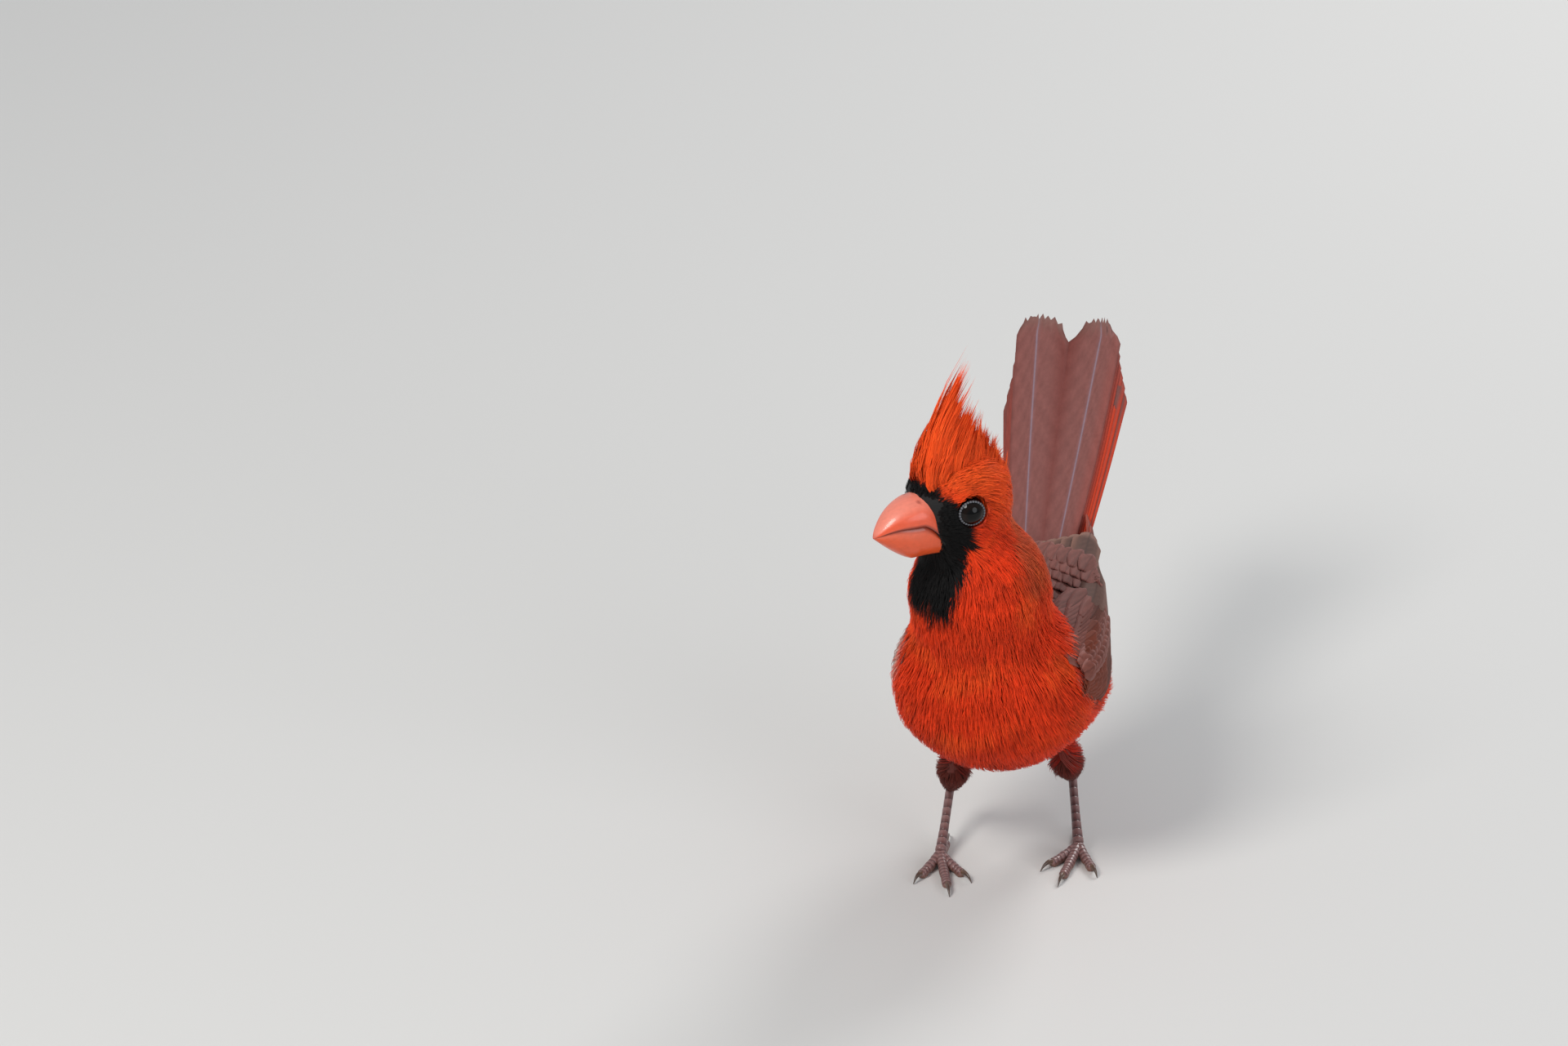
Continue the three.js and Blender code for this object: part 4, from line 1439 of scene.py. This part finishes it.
def toe_part(leg, turn, length):
    end = length + 1
    line = toe_line(leg, turn, [-0.3, end * 0.35, end * 0.7, end], [FOOT_HEIGHT - 0.6, 1.75, 1.25, 1.05])
    count = round(length / TOE_SCUTE_LENGTH)

    def radius(s, angle):
        joints = 0.10 * np.abs(np.sin(s * 3 * np.pi)) - 0.14 * s
        pads = 0.12 * np.abs(np.sin(s * 3 * np.pi)) * ramp(-np.sin(angle), 0, 0.8)
        return 1.27 * (1 + joints + pads + scutes(s, angle, count)) * end_round(s, 0.05, 0.09)

    return tube(line, radius, 110, 20, scute_colour(count, 0.9))


def claw_part(leg, turn, length, size):
    start, reach = length + 0.2, CLAW_LENGTH * size
    reaches = [start - 0.4, start + reach * 0.3, start + reach * 0.7, start + reach]
    line = toe_line(leg, turn, reaches, [1.25, 1.95, 1.5, 0.25])

    def radius(s, angle):
        thick = 0.92 * (1 - s) ** 0.8 + 0.07
        return thick * (1 - 0.25 * np.abs(np.cos(angle))) * end_round(s, 0.06, 0.02)

    def colour(s, angle):
        horn = mix(CLAW_BASE, CLAW_BROWN, ramp(s, 0.1, 0.6))
        return horn * (1 + 0.15 * np.sin(angle * 4 + s * 20))[..., None]

    return tube(line, radius, 40, 16, colour)


def make_legs():
    scaly = surface_material("leg_look", 0.42, 2600, 0.00006, vary=0.18, coat=0.25)
    horn = surface_material("claw_look", 0.3, 1500, 0.00003, vary=0.15, coat=0.3)
    for name, leg in LEGS.items():
        parts = [shank_part(leg)] + [toe_part(leg, turn, length) for turn, length, _ in TOES.values()]
        piece = make_mesh("leg_scales_" + name, *join_parts(parts))
        finish_piece(piece, scaly, "leg_skin", "tarsus_" + name, *(f"toe_{toe}_{name}" for toe in TOES))
        for toe, (turn, length, size) in TOES.items():
            claw = make_mesh(f"claw_horn_{toe}_{name}", *claw_part(leg, turn, length, size))
            finish_piece(claw, horn, "claw_horn", f"claw_{toe}_{name}")


# Floor, lights and camera


FLOOR_HALF = 4.0


def plain_material(name, colour, roughness):
    material = bpy.data.materials.new(name)
    material.use_nodes = True
    shader = material.node_tree.nodes["Principled BSDF"]
    shader.inputs["Base Color"].default_value = (*colour, 1)
    shader.inputs["Roughness"].default_value = roughness
    return material


def make_floor():
    mesh = bpy.data.meshes.new("floor")
    corners = [(x * FLOOR_HALF, y * FLOOR_HALF, 0) for x, y in ((-1, -1), (1, -1), (1, 1), (-1, 1))]
    mesh.from_pydata(corners, [], [(0, 1, 2, 3)])
    mesh.materials.append(plain_material("floor_look", FLOOR_GREY, 0.7))
    add_object("floor", mesh)


def area_light(name, place, aim, size, power, colour=(1, 1, 1)):
    light = bpy.data.lights.new(name, "AREA")
    light.shape = "DISK"
    light.size = size
    light.energy = power
    light.color = colour
    lamp = add_object(name, light)
    lamp.location = place
    lamp.rotation_euler = (Vector(aim) - Vector(place)).to_track_quat("-Z", "Y").to_euler()


def make_light():
    world = bpy.data.worlds.new("studio")
    world.use_nodes = True
    world.node_tree.nodes["Background"].inputs["Color"].default_value = (0.83, 0.88, 0.95, 1)
    world.node_tree.nodes["Background"].inputs["Strength"].default_value = 0.42
    bpy.context.scene.world = world
    middle = (0, 0, 0.07)
    area_light("key", (-0.55, -0.75, 1.05), middle, 0.55, 11.0, (1, 0.98, 0.95))
    area_light("fill", (0.9, -0.7, 0.55), middle, 0.8, 4.0, (0.93, 0.96, 1))
    area_light("rim", (0.35, 0.95, 0.8), middle, 0.5, 7.0)
    view = bpy.context.scene.view_settings
    view.view_transform = "Standard"
    view.look = "None"


def make_camera():
    """The photograph's view: the ground point falls on its pixel, at the photograph's scale."""
    a, e = CAMERA_AZIMUTH, CAMERA_ELEVATION
    right = np.array([math.cos(a), math.sin(a), 0])
    back = np.array([math.sin(a) * math.cos(e), -math.cos(a) * math.cos(e), math.sin(e)])
    up = np.cross(back, right)
    aside = (GROUND_PIXEL_X - IMAGE_WIDTH / 2) / PIXELS_PER_MM
    below = (GROUND_PIXEL_Y - IMAGE_HEIGHT / 2) / PIXELS_PER_MM
    place = to_row(-aside * right + below * up + CAMERA_DISTANCE * back)
    lens = bpy.data.cameras.new("camera")
    lens.sensor_width = SENSOR
    lens.lens = PIXELS_PER_MM * CAMERA_DISTANCE / IMAGE_WIDTH * SENSOR
    lens.clip_start = 0.05
    lens.clip_end = 50
    camera = add_object("camera", lens)
    turn = Matrix((right, up, back)).transposed().to_4x4()
    camera.matrix_world = Matrix.Translation(place) @ turn
    bpy.context.scene.camera = camera


def main():
    make_camera()
    make_light()
    make_floor()
    skin, points = make_skin()
    surface = Surface(skin, points)
    feather = surface_material("barb_look", 0.58, 500, 0.00002, vary=0.06, sheen=0.02, specular=0.14)
    grow_coat(surface, feather)
    grow_crest(feather, surface)
    make_bill()
    make_eyes()
    make_tail()
    make_wings(surface)
    make_legs()


main()
